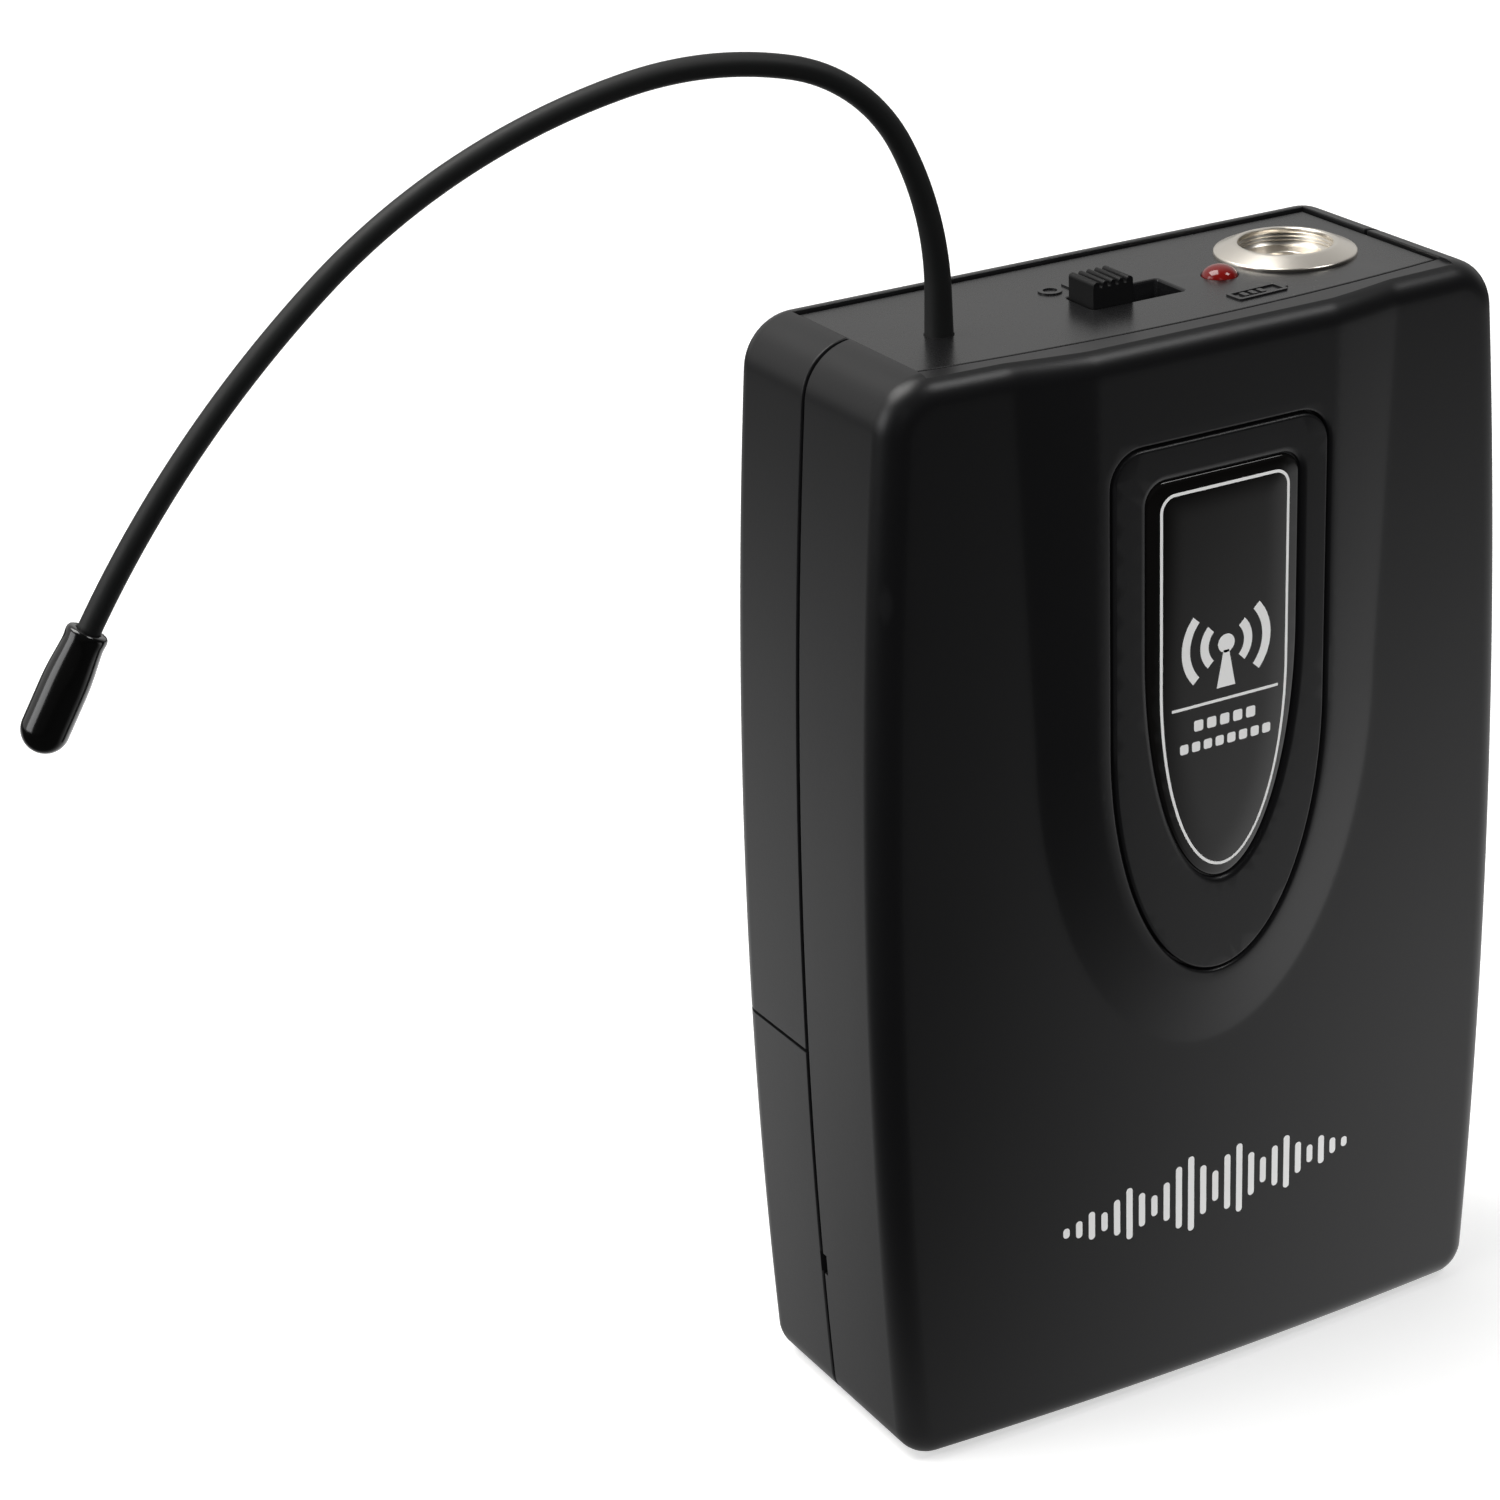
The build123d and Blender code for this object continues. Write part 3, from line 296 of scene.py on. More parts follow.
def pad_share(x, z):
    """0 outside the crease of the raised panel, 1 on its flat field."""
    x = np.abs(np.asarray(x, float))
    z = np.asarray(z, float)
    rise, fall = np.maximum(z - PAD_Z, 0.0), np.maximum(PAD_Z - z, 0.0)
    low, high = np.zeros_like(x), np.full_like(x, 1.6)
    # halve the interval until the crease line through each point is found
    for _ in range(26):
        spread = 0.5 * (low + high)
        outside = (x / pad_half(spread, rise)) ** 2 + (fall / pad_drop(spread)) ** 2 > 1.0
        low = np.where(outside, spread, low)
        high = np.where(outside, high, spread)
    share = 1.0 - 0.5 * (low + high)

    def soft_floor(value, width):
        return 0.5 * (value + np.sqrt(value * value + width * width))
    share = soft_floor(share, 0.035) - soft_floor(share - 1.0, 0.10)
    return np.clip(share, 0.0, 1.0)


def crease_lines(spreads):
    """Lines along the crease, mirrored left and right and joined at the tip."""
    lines = []
    for spread in spreads:
        half, drop = pad_half(spread, 0.0), pad_drop(spread)
        right = [(pad_half(spread, z - PAD_Z), z) for z in np.arange(CREASE_TOP, PAD_Z, -0.9)]
        right += [(half * math.cos(t), PAD_Z - drop * math.sin(t))
                  for t in np.linspace(0, QUARTER, 44)[:-1]]
        left = [(-x, z) for x, z in reversed(right)]
        lines.append(right + [(0.0, PAD_Z - drop)] + left)
    return lines


def face_y(x, z):
    share = pad_share(x, z)
    return dome(x) * (1 - share) + PAD_Y * share


def pad_flat(x, z):
    return np.full_like(x, PAD_Y)


# ------------------------------------------------------------- mesh building
def add_object(name, data):
    made = bpy.data.objects.new(name, data)
    bpy.context.scene.collection.objects.link(made)
    return made


def clean(piece, merge=False, split=False):
    """Turns all faces outwards; may first merge close points and split faces above four sides."""
    work = bmesh.new()
    work.from_mesh(piece.data)
    if merge:
        bmesh.ops.remove_doubles(work, verts=work.verts, dist=MERGE)
        bmesh.ops.dissolve_degenerate(work, dist=MERGE * 0.5, edges=work.edges)
    if split:
        bmesh.ops.triangulate(work, faces=[f for f in work.faces if len(f.verts) > 4])
    bmesh.ops.recalc_face_normals(work, faces=work.faces)
    work.to_mesh(piece.data)
    work.free()


def shade(piece, angle):
    """Smooth shading, with edges sharper than angle in degrees kept sharp."""
    mesh = piece.data
    mesh.polygons.foreach_set("use_smooth", [True] * len(mesh.polygons))
    work = bmesh.new()
    work.from_mesh(mesh)
    limit = math.radians(angle)
    for edge in work.edges:
        edge.smooth = not (len(edge.link_faces) == 2 and edge.calc_face_angle(0) > limit)
    work.to_mesh(mesh)
    work.free()


class Skin:
    """Collects vertices and faces in millimetres, then makes one closed mesh."""

    def __init__(self):
        self.verts, self.faces = [], []

    def add(self, points):
        first = len(self.verts)
        self.verts.extend([tuple(float(c) for c in point) for point in points])
        return list(range(first, len(self.verts)))

    def ring(self, loop, y):
        """Adds an (x, z) loop at one y, or at a y for each point."""
        loop = np.asarray(loop, float)
        return self.add(np.c_[loop[:, 0], np.broadcast_to(y, len(loop)), loop[:, 1]])

    def bridge(self, ring0, ring1, flip=False):
        count = len(ring0)
        for i in range(count):
            j = (i + 1) % count
            quad = (ring0[i], ring0[j], ring1[j], ring1[i])
            self.faces.append(quad[::-1] if flip else quad)

    def cap(self, ring, flip=False):
        self.faces.append(tuple(ring[::-1] if flip else ring))

    def tube(self, rings, flip=False, cap_last=True):
        """Skin through several rings, capped at the first and, if asked, at the last."""
        for ring0, ring1 in zip(rings, rings[1:]):
            self.bridge(ring0, ring1, flip)
        self.cap(rings[0], flip)
        if cap_last:
            self.cap(rings[-1], not flip)

    def wrap(self, rings):
        """Skin through several rings and back to the first."""
        for ring0, ring1 in zip(rings, rings[1:] + rings[:1]):
            self.bridge(ring0, ring1)

    def fill(self, outer, height, step, hole=None, lines=()):
        """Triangulated height field inside outer and around hole, both (ring, loop) pairs.

        Edges follow the given lines.
        """
        def flat(loop):
            return [Vector((float(p[0]), float(p[1]))) for p in loop]
        points, edges, ring_ids = [], [], []
        for ring, loop in [outer] + ([hole] if hole else []):
            start, count = len(points), len(loop)
            points += flat(loop)
            ring_ids += ring
            edges += [(start + i, start + (i + 1) % count) for i in range(count)]
        fixed = len(points)
        outer_loop = np.array(outer[1])
        low, high = outer_loop.min(0), outer_loop.max(0)
        columns = np.arange(low[0] + step * 0.6, high[0], step)
        rows = np.arange(low[1] + step * 0.6, high[1], step * 0.866)
        grid = np.array([(x + (0.5 * step if k % 2 else 0.0), z)
                         for k, z in enumerate(rows) for x in columns])
        keep = inside(grid, outer_loop, step * 0.55)
        if hole:
            keep &= ~inside(grid, np.array(hole[1]), -step * 0.55)
        for line in lines:
            keep &= ~near_line(grid, line, step * 0.5)
            start = len(points)
            points += flat(line)
            edges += [(start + i, start + i + 1) for i in range(len(line) - 1)]
        points += flat(grid[keep])
        found, _, triangles, origins, _, _ = delaunay_2d_cdt(points, edges, [],
                                                             0 if hole else 1, 1e-7)
        vert_of, fresh = {}, []
        for k, sources in enumerate(origins):
            known = [source for source in sources if source < fixed]
            if known:
                vert_of[k] = ring_ids[known[0]]
            else:
                fresh.append(k)
        xs = np.array([found[k].x for k in fresh])
        zs = np.array([found[k].y for k in fresh])
        vert_of.update(zip(fresh, self.add(np.c_[xs, height(xs, zs), zs])))
        centres = np.array([(sum(found[k].x for k in triangle) / 3,
                             sum(found[k].y for k in triangle) / 3) for triangle in triangles])
        wanted = inside(centres, outer_loop)
        if hole:
            wanted &= ~inside(centres, np.array(hole[1]))
        for triangle, good in zip(triangles, wanted):
            face = tuple(vert_of[k] for k in triangle)
            if good and len(set(face)) == 3:
                self.faces.append(face)

    def make(self, name):
        mesh = bpy.data.meshes.new(name)
        mesh.from_pydata([(x * MM, y * MM, z * MM) for x, y, z in self.verts], [], self.faces)
        mesh.validate()
        piece = add_object(name, mesh)
        clean(piece)
        return piece


def rings_y(rings):
    """Solid through several ((x, z) loop, y) rings."""
    skin = Skin()
    skin.tube([skin.ring(loop, y) for loop, y in rings])
    return skin.make("tool")


def prism_y(loop, y0, y1):
    return rings_y([(loop, y0), (loop, y1)])


def rings_z(rings, name="tool"):
    """Solid through several ((x, y) loop, z) rings."""
    skin = Skin()
    skin.tube([skin.add([(x, y, z) for x, y in loop]) for loop, z in rings])
    return skin.make(name)


def cuboid(x0, x1, y0, y1, z0, z1):
    loop = [(x0, y0), (x1, y0), (x1, y1), (x0, y1)]
    return rings_z([(loop, z0), (loop, z1)])


def lathe(profile, name, steps, x=0.0, y=0.0):
    """Solid of revolution about a vertical axis.

    The (radius, z) profile is closed, or starts and ends on the axis.
    """
    skin = Skin()
    rings = []
    for radius, z in profile:
        loop = [(x, y)] if radius < 1e-6 else circle(x, y, radius, steps)
        rings.append(skin.add([(px, py, z) for px, py in loop]))
    pairs = list(zip(rings, rings[1:]))
    if len(rings[0]) > 1:
        pairs.append((rings[-1], rings[0]))
    for ring0, ring1 in pairs:
        if len(ring0) == 1:
            skin.faces += [(ring0[0], ring1[i], ring1[(i + 1) % steps]) for i in range(steps)]
        elif len(ring1) == 1:
            skin.faces += [(ring0[i], ring1[0], ring0[(i + 1) % steps]) for i in range(steps)]
        else:
            skin.bridge(ring0, ring1)
    return skin.make(name)


def bake_modifiers(piece):
    """Applies the modifiers and returns the mesh that was replaced."""
    bpy.context.view_layer.update()
    depsgraph = bpy.context.evaluated_depsgraph_get()
    mesh = bpy.data.meshes.new_from_object(piece.evaluated_get(depsgraph))
    piece.modifiers.clear()
    old = piece.data
    piece.data = mesh
    return old


def boolean(piece, tool, operation="DIFFERENCE"):
    """Cuts or joins a solid, which is used up."""
    modifier = piece.modifiers.new("boolean", "BOOLEAN")
    modifier.operation = operation
    modifier.object = tool
    modifier.solver = "EXACT"
    bpy.data.meshes.remove(bake_modifiers(piece))
    tool_mesh = tool.data
    bpy.data.objects.remove(tool)
    bpy.data.meshes.remove(tool_mesh)


def join(piece, tool):
    boolean(piece, tool, "UNION")


dressing = []       # (object, material key) of every new piece


def deliver(piece, angle, slot, *replaced):
    """Cleans and shades a piece and puts it in place of the frame's pieces."""
    clean(piece, merge=True, split=True)
    shade(piece, angle)
    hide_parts(*replaced)
    dressing.append((piece, slot))
    return piece


# -------------------------------------------------------------------- shells
OPENING = bowed_loop(OPENING_HALF, rear=9.1, front=-10.3, front_middle=-12.1, steps=40)


def seam_rings(skin, side):
    """Parting edge: a narrow slit behind a slightly rounded corner. side is the sign of y."""
    rings = [skin.ring(outline(SLIT_DEPTH), y) for y in (0.0, side * SLIT)]
    for inset, rise in quarter_round(4):
        y = side * (SLIT + SEAM_RADIUS * rise)
        rings.append(skin.ring(outline(SEAM_RADIUS * inset), y))
    return rings


def sink_seat(skin, spec, surface, roll_out, roll_in, steps, floor_grow, floor_y):
    """Sunk seat with a rolled edge; returns its rim as a (ring, loop) pair."""
    rings = []
    for out, down in quarter_round(steps):
        loop = shield(spec, roll_out * out + SEAT_GAP)
        rings.append(skin.ring(loop, surface(loop[:, 0], loop[:, 1]) + roll_in * down))
    rings.append(skin.ring(shield(spec, floor_grow), floor_y))
    for ring0, ring1 in zip(rings, rings[1:]):
        skin.bridge(ring0, ring1)
    skin.cap(rings[-1])
    return rings[0], shield(spec, roll_out + SEAT_GAP)


def front_skin():
    """Outside of the front shell, with the raised panel and the seat of the badge."""
    skin = Skin()
    rings = seam_rings(skin, -1)
    loop = outline()
    edge_y = face_y(loop[:, 0], loop[:, 1]) + EDGE_RADIUS
    for share in (0.35, 0.7):
        rings.append(skin.ring(loop, edge_y * share - (SLIT + SEAM_RADIUS) * (1 - share)))
    for rise, inset in quarter_round(12):
        loop = outline(EDGE_RADIUS * inset)
        rings.append(skin.ring(loop, face_y(loop[:, 0], loop[:, 1]) + EDGE_RADIUS * rise))
    skin.tube(rings, cap_last=False)
    rim = sink_seat(skin, BADGE, face_y, roll_out=0.3, roll_in=0.3, steps=4,
                    floor_grow=SEAT_GAP, floor_y=BADGE_FLOOR_Y)
    spreads = (-0.07, 0.0, 0.07, 0.35, 0.65, 0.9, 0.965, 1.0, 1.035, 1.1)
    skin.fill((rings[-1], loop), face_y, FACE_STEP, hole=rim, lines=crease_lines(spreads))
    return skin.make("front_shell_skin")


def rear_skin(name):
    """Outside of the whole rear half, from which the rear shell and the door are cut."""
    skin = Skin()
    rings = seam_rings(skin, 1)
    rings.append(skin.ring(outline(), 4.5))
    for drop, inset in quarter_round(12):
        rings.append(skin.ring(outline(EDGE_RADIUS * inset), REAR_Y - EDGE_RADIUS * drop))
    skin.tube(rings, flip=True)
    return skin.make(name)


def opening_cutter():
    """Hole in the top for the control plate, with a rounded rim."""
    middle, wide = grow_loop(OPENING, 0.05), grow_loop(OPENING, 0.16)
    return rings_z([(OPENING, 96.0), (OPENING, HEIGHT - 0.16), (middle, HEIGHT - 0.05),
                    (wide, HEIGHT + 0.03), (wide, HEIGHT + 3)])


def cavity_cutter(y0, y1):
    return prism_y(outline(WALL, side_steps=60, corner_steps=8, end_steps=8), y0, y1)


def cut_band(piece, z0, z1):
    """Cuts away everything between two heights."""
    boolean(piece, cuboid(-60, 60, -30, 30, z0, z1))


def make_front_shell():
    inner_y, root_y = -11.7, -12.2      # root_y lies inside the front wall
    shell = front_skin()
    boolean(shell, cavity_cutter(1.0, inner_y))
    boolean(shell, opening_cutter())
    # top of the wall in front of the control plate
    boolean(shell, cuboid(-OPENING_HALF, OPENING_HALF, -16, -9.9, 100.05, 104))
    # tab in the bottom wall, reaching into the door's notch
    join(shell, cuboid(-TAB_HALF, TAB_HALF, -3.0, TAB_Y, 0.0, WALL))
    for side in (-1, 1):
        for z in BOSS_ZS:
            x = side * BOSS_X
            join(shell, prism_y(circle(x, z, 2.4, 32), -0.1, root_y))
            boolean(shell, prism_y(circle(x, z, 1.25, 32), 1.0, -9.0))
        # short bosses on the front wall
        for z in (8.0, 78.0):
            x = side * 20.0
            join(shell, prism_y(circle(x, z, 2.2, 32), -9.4, root_y))
            boolean(shell, prism_y(circle(x, z, 0.95, 32), -9.0, inner_y))
    boolean(shell, cuboid(*NOTCH_X, -0.85, 0.5, *NOTCH_Z))
    return deliver(shell, 24.5, "case_plastic", "front_shell")


def make_rear_shell():
    low = DOOR_Z + 0.16
    root_y = 10.5                       # inside the rear wall
    shell = rear_skin("rear_shell_skin")
    cut_band(shell, -20, low)
    boolean(shell, cavity_cutter(-1.0, REAR_INNER_Y))
    boolean(shell, opening_cutter())
    # wall above the battery door
    join(shell, cuboid(-31.2, 31.2, 0.4, 10.3, low, DOOR_Z + 1.4))
    posts = [(side * BOSS_X, z) for side in (-1, 1) for z in BOSS_ZS]
    for x, z in posts:
        join(shell, prism_y(circle(x, z, 3.3, 36), 0.05, root_y))
    # stepped bore through each post: (radius, y)
    bore = [(1.3, -1.0), (1.3, 3.0), (2.5, 3.0001), (2.5, REAR_Y - 0.3), (2.8, REAR_Y + 0.02),
            (2.8, REAR_Y + 2)]
    for x, z in posts:
        boolean(shell, rings_y([(circle(x, z, radius, 36), y) for radius, y in bore]))
    # slots for the door's hooks, and bored bosses for the clip
    for side in (-1, 1):
        x = side * HOOK_X
        boolean(shell, cuboid(x - 3.2, x + 3.2, 8.85, 10.15, DOOR_Z, DOOR_Z + 2))
        x = side * CLIP_HOLE_X
        join(shell, prism_y(circle(x, CLIP_HOLE_Z, 2.3, 32), 5.6, root_y))
        boolean(shell, prism_y(circle(x, CLIP_HOLE_Z, 1.05, 32), 6.4, 14.4))
    # small peg in the top corner at +x
    join(shell, prism_y(circle(28.66, 98.74, 0.7, 28), 0.3, 2.6))
    return deliver(shell, 30, "case_plastic", "rear_shell")


def make_battery_door():
    top = DOOR_Z - 0.2
    tab_gap = 0.15
    door = rear_skin("battery_door_skin")
    cut_band(door, top, 140)
    boolean(door, cavity_cutter(-1.0, REAR_INNER_Y))
    notch_half = TAB_HALF + tab_gap
    boolean(door, cuboid(-notch_half, notch_half, -2, TAB_Y + tab_gap, -1, 3))
    for side in (-1, 1):
        x0, x1 = side * HOOK_X - 3, side * HOOK_X + 3
        hook = cuboid(x0, x1, 9.2, 10.0, DOOR_Z - 1.3, DOOR_Z + 1.0)
        join(hook, cuboid(x0, x1, 9.2, 10.3, DOOR_Z - 1.3, top))
        join(door, hook)
    # five grooves across the rear face
    for i in range(5):
        z = 18.0 + 2.6 * i
        narrow = rounded_rect(0, z, 18, 1.3, 0.64)
        wide = rounded_rect(0, z, 18.5, 1.8, 0.88)
        boolean(door, rings_y([(narrow, REAR_Y - 0.5), (narrow, REAR_Y - 0.2),
                               (wide, REAR_Y + 0.01), (wide, REAR_Y + 1)]))
    boolean(door, cuboid(*NOTCH_X, -0.5, 0.3, *NOTCH_Z))
    return deliver(door, 30, "case_plastic", "battery_door")


# --------------------------------------------------------------------- badge
def make_badge_panel():
    gap, roll = 0.15, 0.3
    skin = Skin()
    loop = shield(BADGE, -gap)
    rings = [skin.ring(loop, y) for y in (BADGE_FLOOR_Y, PAD_Y + roll)]
    for rise, inset in quarter_round(5)[1:]:
        loop = shield(BADGE, -gap - roll * inset)
        rings.append(skin.ring(loop, PAD_Y + roll * rise))
    skin.tube(rings, cap_last=False)
    rim = sink_seat(skin, LABEL, pad_flat, roll_out=0.6, roll_in=0.42, steps=5,
                    floor_grow=0.05, floor_y=PAD_Y + LABEL_SEAT_DEPTH)
    skin.fill((rings[-1], loop), pad_flat, 1.6, hole=rim)
    return deliver(skin.make("badge_panel"), 30, "case_plastic", "badge_insert")


# face of the label: height of the crown and width of the band where it falls away
LABEL_Y, CROWN, CROWN_WIDTH = PAD_Y + 0.05, 0.14, 3.0
LABEL_RIM = shield(LABEL, -0.4)


def label_y(x, z):
    """Face of the label: flat in the middle and falling away towards its edge."""
    x, z = np.broadcast_arrays(np.atleast_1d(np.asarray(x, float)),
                               np.atleast_1d(np.asarray(z, float)))
    fall = np.clip(1 - loop_distance(x, z, LABEL_RIM) / CROWN_WIDTH, 0, 1)
    return LABEL_Y + CROWN * fall * fall


def make_label():
    edge_y = LABEL_Y + CROWN
    gap = SEAT_GAP
    skin = Skin()
    loop = shield(LABEL, -gap)
    rings = [skin.ring(loop, y) for y in (PAD_Y + LABEL_SEAT_DEPTH - 0.02, edge_y + 0.26)]
    # steep rim, then the shallow crown: (inset, distance behind edge_y)
    for inset, back in ((0.02, 0.19), (0.06, 0.12), (0.12, 0.065), (0.21, 0.025), (0.34, 0.0)):
        spec = LABEL._replace(corner=max(LABEL.corner, inset + 0.25))
        loop = shield(spec, -gap - inset)
        rings.append(skin.ring(loop, edge_y + back))
    skin.tube(rings, cap_last=False)
    skin.fill((rings[-1], loop), label_y, FACE_STEP)
    return deliver(skin.make("badge_label_face"), 40, "label_gloss", "badge_label")


# ------------------------------------------------------------- control plate
PLATE = bowed_loop(PLATE_HALF, rear=9.0, front=-10.2, front_middle=-11.95, steps=32)
PLATE_Z = 100.0
MARK_Z = (PLATE_Z - 0.1, PLATE_Z + 0.14)


def bore_plate(plate, loop, lead):
    """Hole through the plate with an eased upper edge."""
    middle, wide = grow_loop(loop, lead * 0.3), grow_loop(loop, lead)
    boolean(plate, rings_z([(loop, 90), (loop, PLATE_Z - lead), (middle, PLATE_Z - lead * 0.3),
                            (wide, PLATE_Z + 0.002), (wide, PLATE_Z + 3)]))


def raise_mark(plate, outer, inner=None):
    """Raised mark over a loop, or between two loops."""
    if inner is None:
        mark = rings_z([(outer, z) for z in MARK_Z])
    else:
        skin = Skin()
        outer_low, outer_high, inner_low, inner_high = [
            skin.add([(x, y, z) for x, y in loop]) for loop in (outer, inner) for z in MARK_Z]
        skin.wrap([outer_low, outer_high, inner_high, inner_low])
        mark = skin.make("tool")
    join(plate, mark)


def add_plate_marks(plate):
    # a ring and a bar behind the switch
    y = 1.75
    raise_mark(plate, circle(-5.5, y, 1.05, 40), circle(-5.5, y, 0.62, 40))
    raise_mark(plate, rounded_rect(-3.55, y, 0.42, 2.0, 0.1))
    # a battery in front of the lamp, turned a little
    x, y = 8.3, -8.75

    def battery_part(offset, width, height, radius):
        return turned(rounded_rect(x + offset, y, width, height, radius), x, y, 3.0)
    raise_mark(plate, battery_part(0, 5.2, 2.1, 0.3), battery_part(0, 4.5, 1.4, 0.1))
    raise_mark(plate, battery_part(2.8, 0.5, 0.9, 0.15))
    for offset in (-1.35, -0.45, 0.45):
        raise_mark(plate, battery_part(offset, 0.5, 0.9, 0.08))


def make_control_plate():
    plate = rings_z([(PLATE, 97.0), (PLATE, 98.0), (grow_loop(PLATE, -0.22), 98.2),
                     (grow_loop(PLATE, -0.22), 99.84), (grow_loop(PLATE, -0.26), 99.96),
                     (grow_loop(PLATE, -0.36), PLATE_Z)], "control_panel")
    # flange under the case's top wall
    join(plate, cuboid(-27.1, 27.1, -11.5, 9.9, 97.0, 97.9))
    bore_plate(plate, circle(*JACK, 5.55, 96), lead=0.1)
    bore_plate(plate, circle(*LED, 1.6, 64), lead=0.12)
    bore_plate(plate, circle(*AERIAL, 1.25, 48), lead=0.1)
    bore_plate(plate, rounded_rect(-0.775, SWITCH_Y, 9.25, 4.25, 0.3, 5), lead=0.2)
    add_plate_marks(plate)
    return deliver(plate, 20, "plate_plastic", "control_plate")


# ------------------------------------------------------ socket, lamp and knob
def make_socket():
    # (radius, z): up the bore, over the rim and down the outside
    profile = [(4.3, 81.15), (4.3, 97.4), (4.2, 97.5), (1.95, 97.5), (1.85, 97.6), (1.85, 99.4),
               (1.88, 99.46), (1.95, 99.5), (4.0, 99.5)]
    # fine grooves round the bore
    for k in range(3):
        profile += [(4.1, 99.62 + 0.34 * k), (4.2, 99.79 + 0.34 * k)]
    profile += [(4.1, 100.64), (4.1, 100.80), (4.13, 100.92), (4.22, 100.99), (4.34, 101.0),
                (4.46, 101.0), (4.56, 100.98), (4.66, 100.93), (6.06, 100.34), (6.16, 100.28),
                (6.21, 100.2), (6.225, 100.1), (6.225, 100.0), (5.5, 100.0), (5.5, 97.0),
                (5.42, 96.8), (5.5, 96.6), (5.5, 94.4), (5.42, 94.2), (5.5, 94.0),
                (5.5, 81.15), (5.35, 81.0), (4.45, 81.0)]
    socket = lathe(profile, "socket_shell", 128, *JACK)
    return deliver(socket, 28, "nickel", "jack_shell", "jack_face")


def make_lamp():
    radius, dome_z, dome_rise = 1.57, 99.8, 1.1
    # (radius, z)
    profile = [(0, 95.6), (1.8, 95.6), (1.9, 95.7), (1.9, 96.4), (1.8, 96.5), (radius, 96.52),
               (radius, 97.5), (radius, 99.0)]
    profile += arc(0.0, dome_z, radius, 0.0, QUARTER, 15, radius_y=dome_rise)
    profile += [(0, dome_z + dome_rise)]
    return deliver(lathe(profile, "indicator_lens", 64, *LED), 40, "led_red", "led_lens")


KNOB_LEFT, KNOB_RIGHT, KNOB_HALF_Y = -5.25, -1.25, 1.875
KNOB_FOOT_Z, VALLEY_Z = 98.6, 101.66
RIDGES, RIDGE_PITCH, RIDGE_HALF = 5, 0.8, 0.25
RIDGE_Z, RIDGE_RISE = 101.9, 0.3


def knob_profile():
    """(x, z) of the knob from the front: a block with ridges across its top."""
    profile = [(KNOB_LEFT, KNOB_FOOT_Z), (KNOB_RIGHT, KNOB_FOOT_Z)]
    for i in range(RIDGES - 1, -1, -1):
        x = KNOB_LEFT + RIDGE_PITCH / 2 + RIDGE_PITCH * i
        right = KNOB_RIGHT if i == RIDGES - 1 else x + RIDGE_HALF
        left = KNOB_LEFT if i == 0 else x - RIDGE_HALF
        if i < RIDGES - 1:
            profile += [(x + 0.34, VALLEY_Z), (x + 0.28, VALLEY_Z + 0.06)]
        profile.append((right, RIDGE_Z - 0.04))
        for degrees in (20, 45, 70, 90, 110, 135, 160):
            angle = math.radians(degrees)
            cos = math.cos(angle)
            reach = right - x if cos > 0 else x - left
            profile.append((x + reach * cos, RIDGE_Z + RIDGE_RISE * math.sin(angle)))
        profile.append((left, RIDGE_Z - 0.04))
        if i > 0:
            profile += [(x - 0.28, VALLEY_Z + 0.06), (x - 0.34, VALLEY_Z)]
    return profile


def make_knob():
    profile = knob_profile()
    skin = Skin()
    skin.tube([skin.ring(profile, SWITCH_Y + side * KNOB_HALF_Y) for side in (-1, 1)])
    knob = skin.make("slide_knob")
    bevel = knob.modifiers.new("bevel", "BEVEL")
    bevel.width = 0.06 * MM
    bevel.segments = 2
    bevel.limit_method = "ANGLE"
    bevel.angle_limit = math.radians(60)
    bake_modifiers(knob)
    # neck down through the slot
    middle = (KNOB_LEFT + KNOB_RIGHT) / 2
    join(knob, cuboid(middle - 1.2, middle + 1.2, SWITCH_Y - 1.3, SWITCH_Y + 1.3,
                      96.4, KNOB_FOOT_Z + 0.1))
    return deliver(knob, 35, "knob_plastic", "switch_knob")


# -------------------------------------------------------------------- aerial
LEAN = math.radians(8.0)        # turn of the bending plane from -x towards +y
LEAN_COS, LEAN_SIN = math.cos(LEAN), math.sin(LEAN)
WHIP_SIDE = np.array([LEAN_SIN, LEAN_COS, 0.0])     # square to the bending plane
WIRE_RADIUS, WIRE_SWELL = 0.975, 0.24
WIRE_BASE_Z, FLEX_Z = 90.0, 103.5
WIRE_STEP = 0.7
# bends in turn from FLEX_Z: (radius, degrees)
WHIP_ARCS = [(28.93, 26.0), (14.22, 49.77), (30.92, 25.57), (57.45, 15.65), (55.11, 13.87),
             (99.58, 19.68)]


def whip_point(reach, z):
    return np.array([AERIAL[0] - reach * LEAN_COS, AERIAL[1] + reach * LEAN_SIN, z])


def whip_direction(heading):
    """Unit vector at a heading in degrees above the horizontal."""
    angle = math.radians(heading)
    flat = math.cos(angle)
    return np.array([-flat * LEAN_COS, flat * LEAN_SIN, math.sin(angle)])


def bend(reach, z, heading, radius, turn):
    """Reach and height after turning down through turn degrees."""
    start, end = math.radians(heading), math.radians(heading - turn)
    return (reach + radius * (math.sin(start) - math.sin(end)),
            z + radius * (math.cos(end) - math.cos(start)))


def whip_path():
    """(centre, direction) stations of the cable, with the reach, height and heading at its end."""
    path = [(np.array([*AERIAL, z]), np.array([0, 0, 1.0]))
            for z in np.arange(WIRE_BASE_Z, FLEX_Z, 0.75)]
    reach, z, heading = 0.0, FLEX_Z, 90.0
    for radius, turn in WHIP_ARCS:
        steps = max(6, int(radius * math.radians(turn) / WIRE_STEP))
        for i in range(steps):
            part = turn * i / steps
            point = whip_point(*bend(reach, z, heading, radius, part))
            path.append((point, whip_direction(heading - part)))
        reach, z = bend(reach, z, heading, radius, turn)
        heading -= turn
    path.append((whip_point(reach, z), whip_direction(heading)))
    return path, reach, z, heading


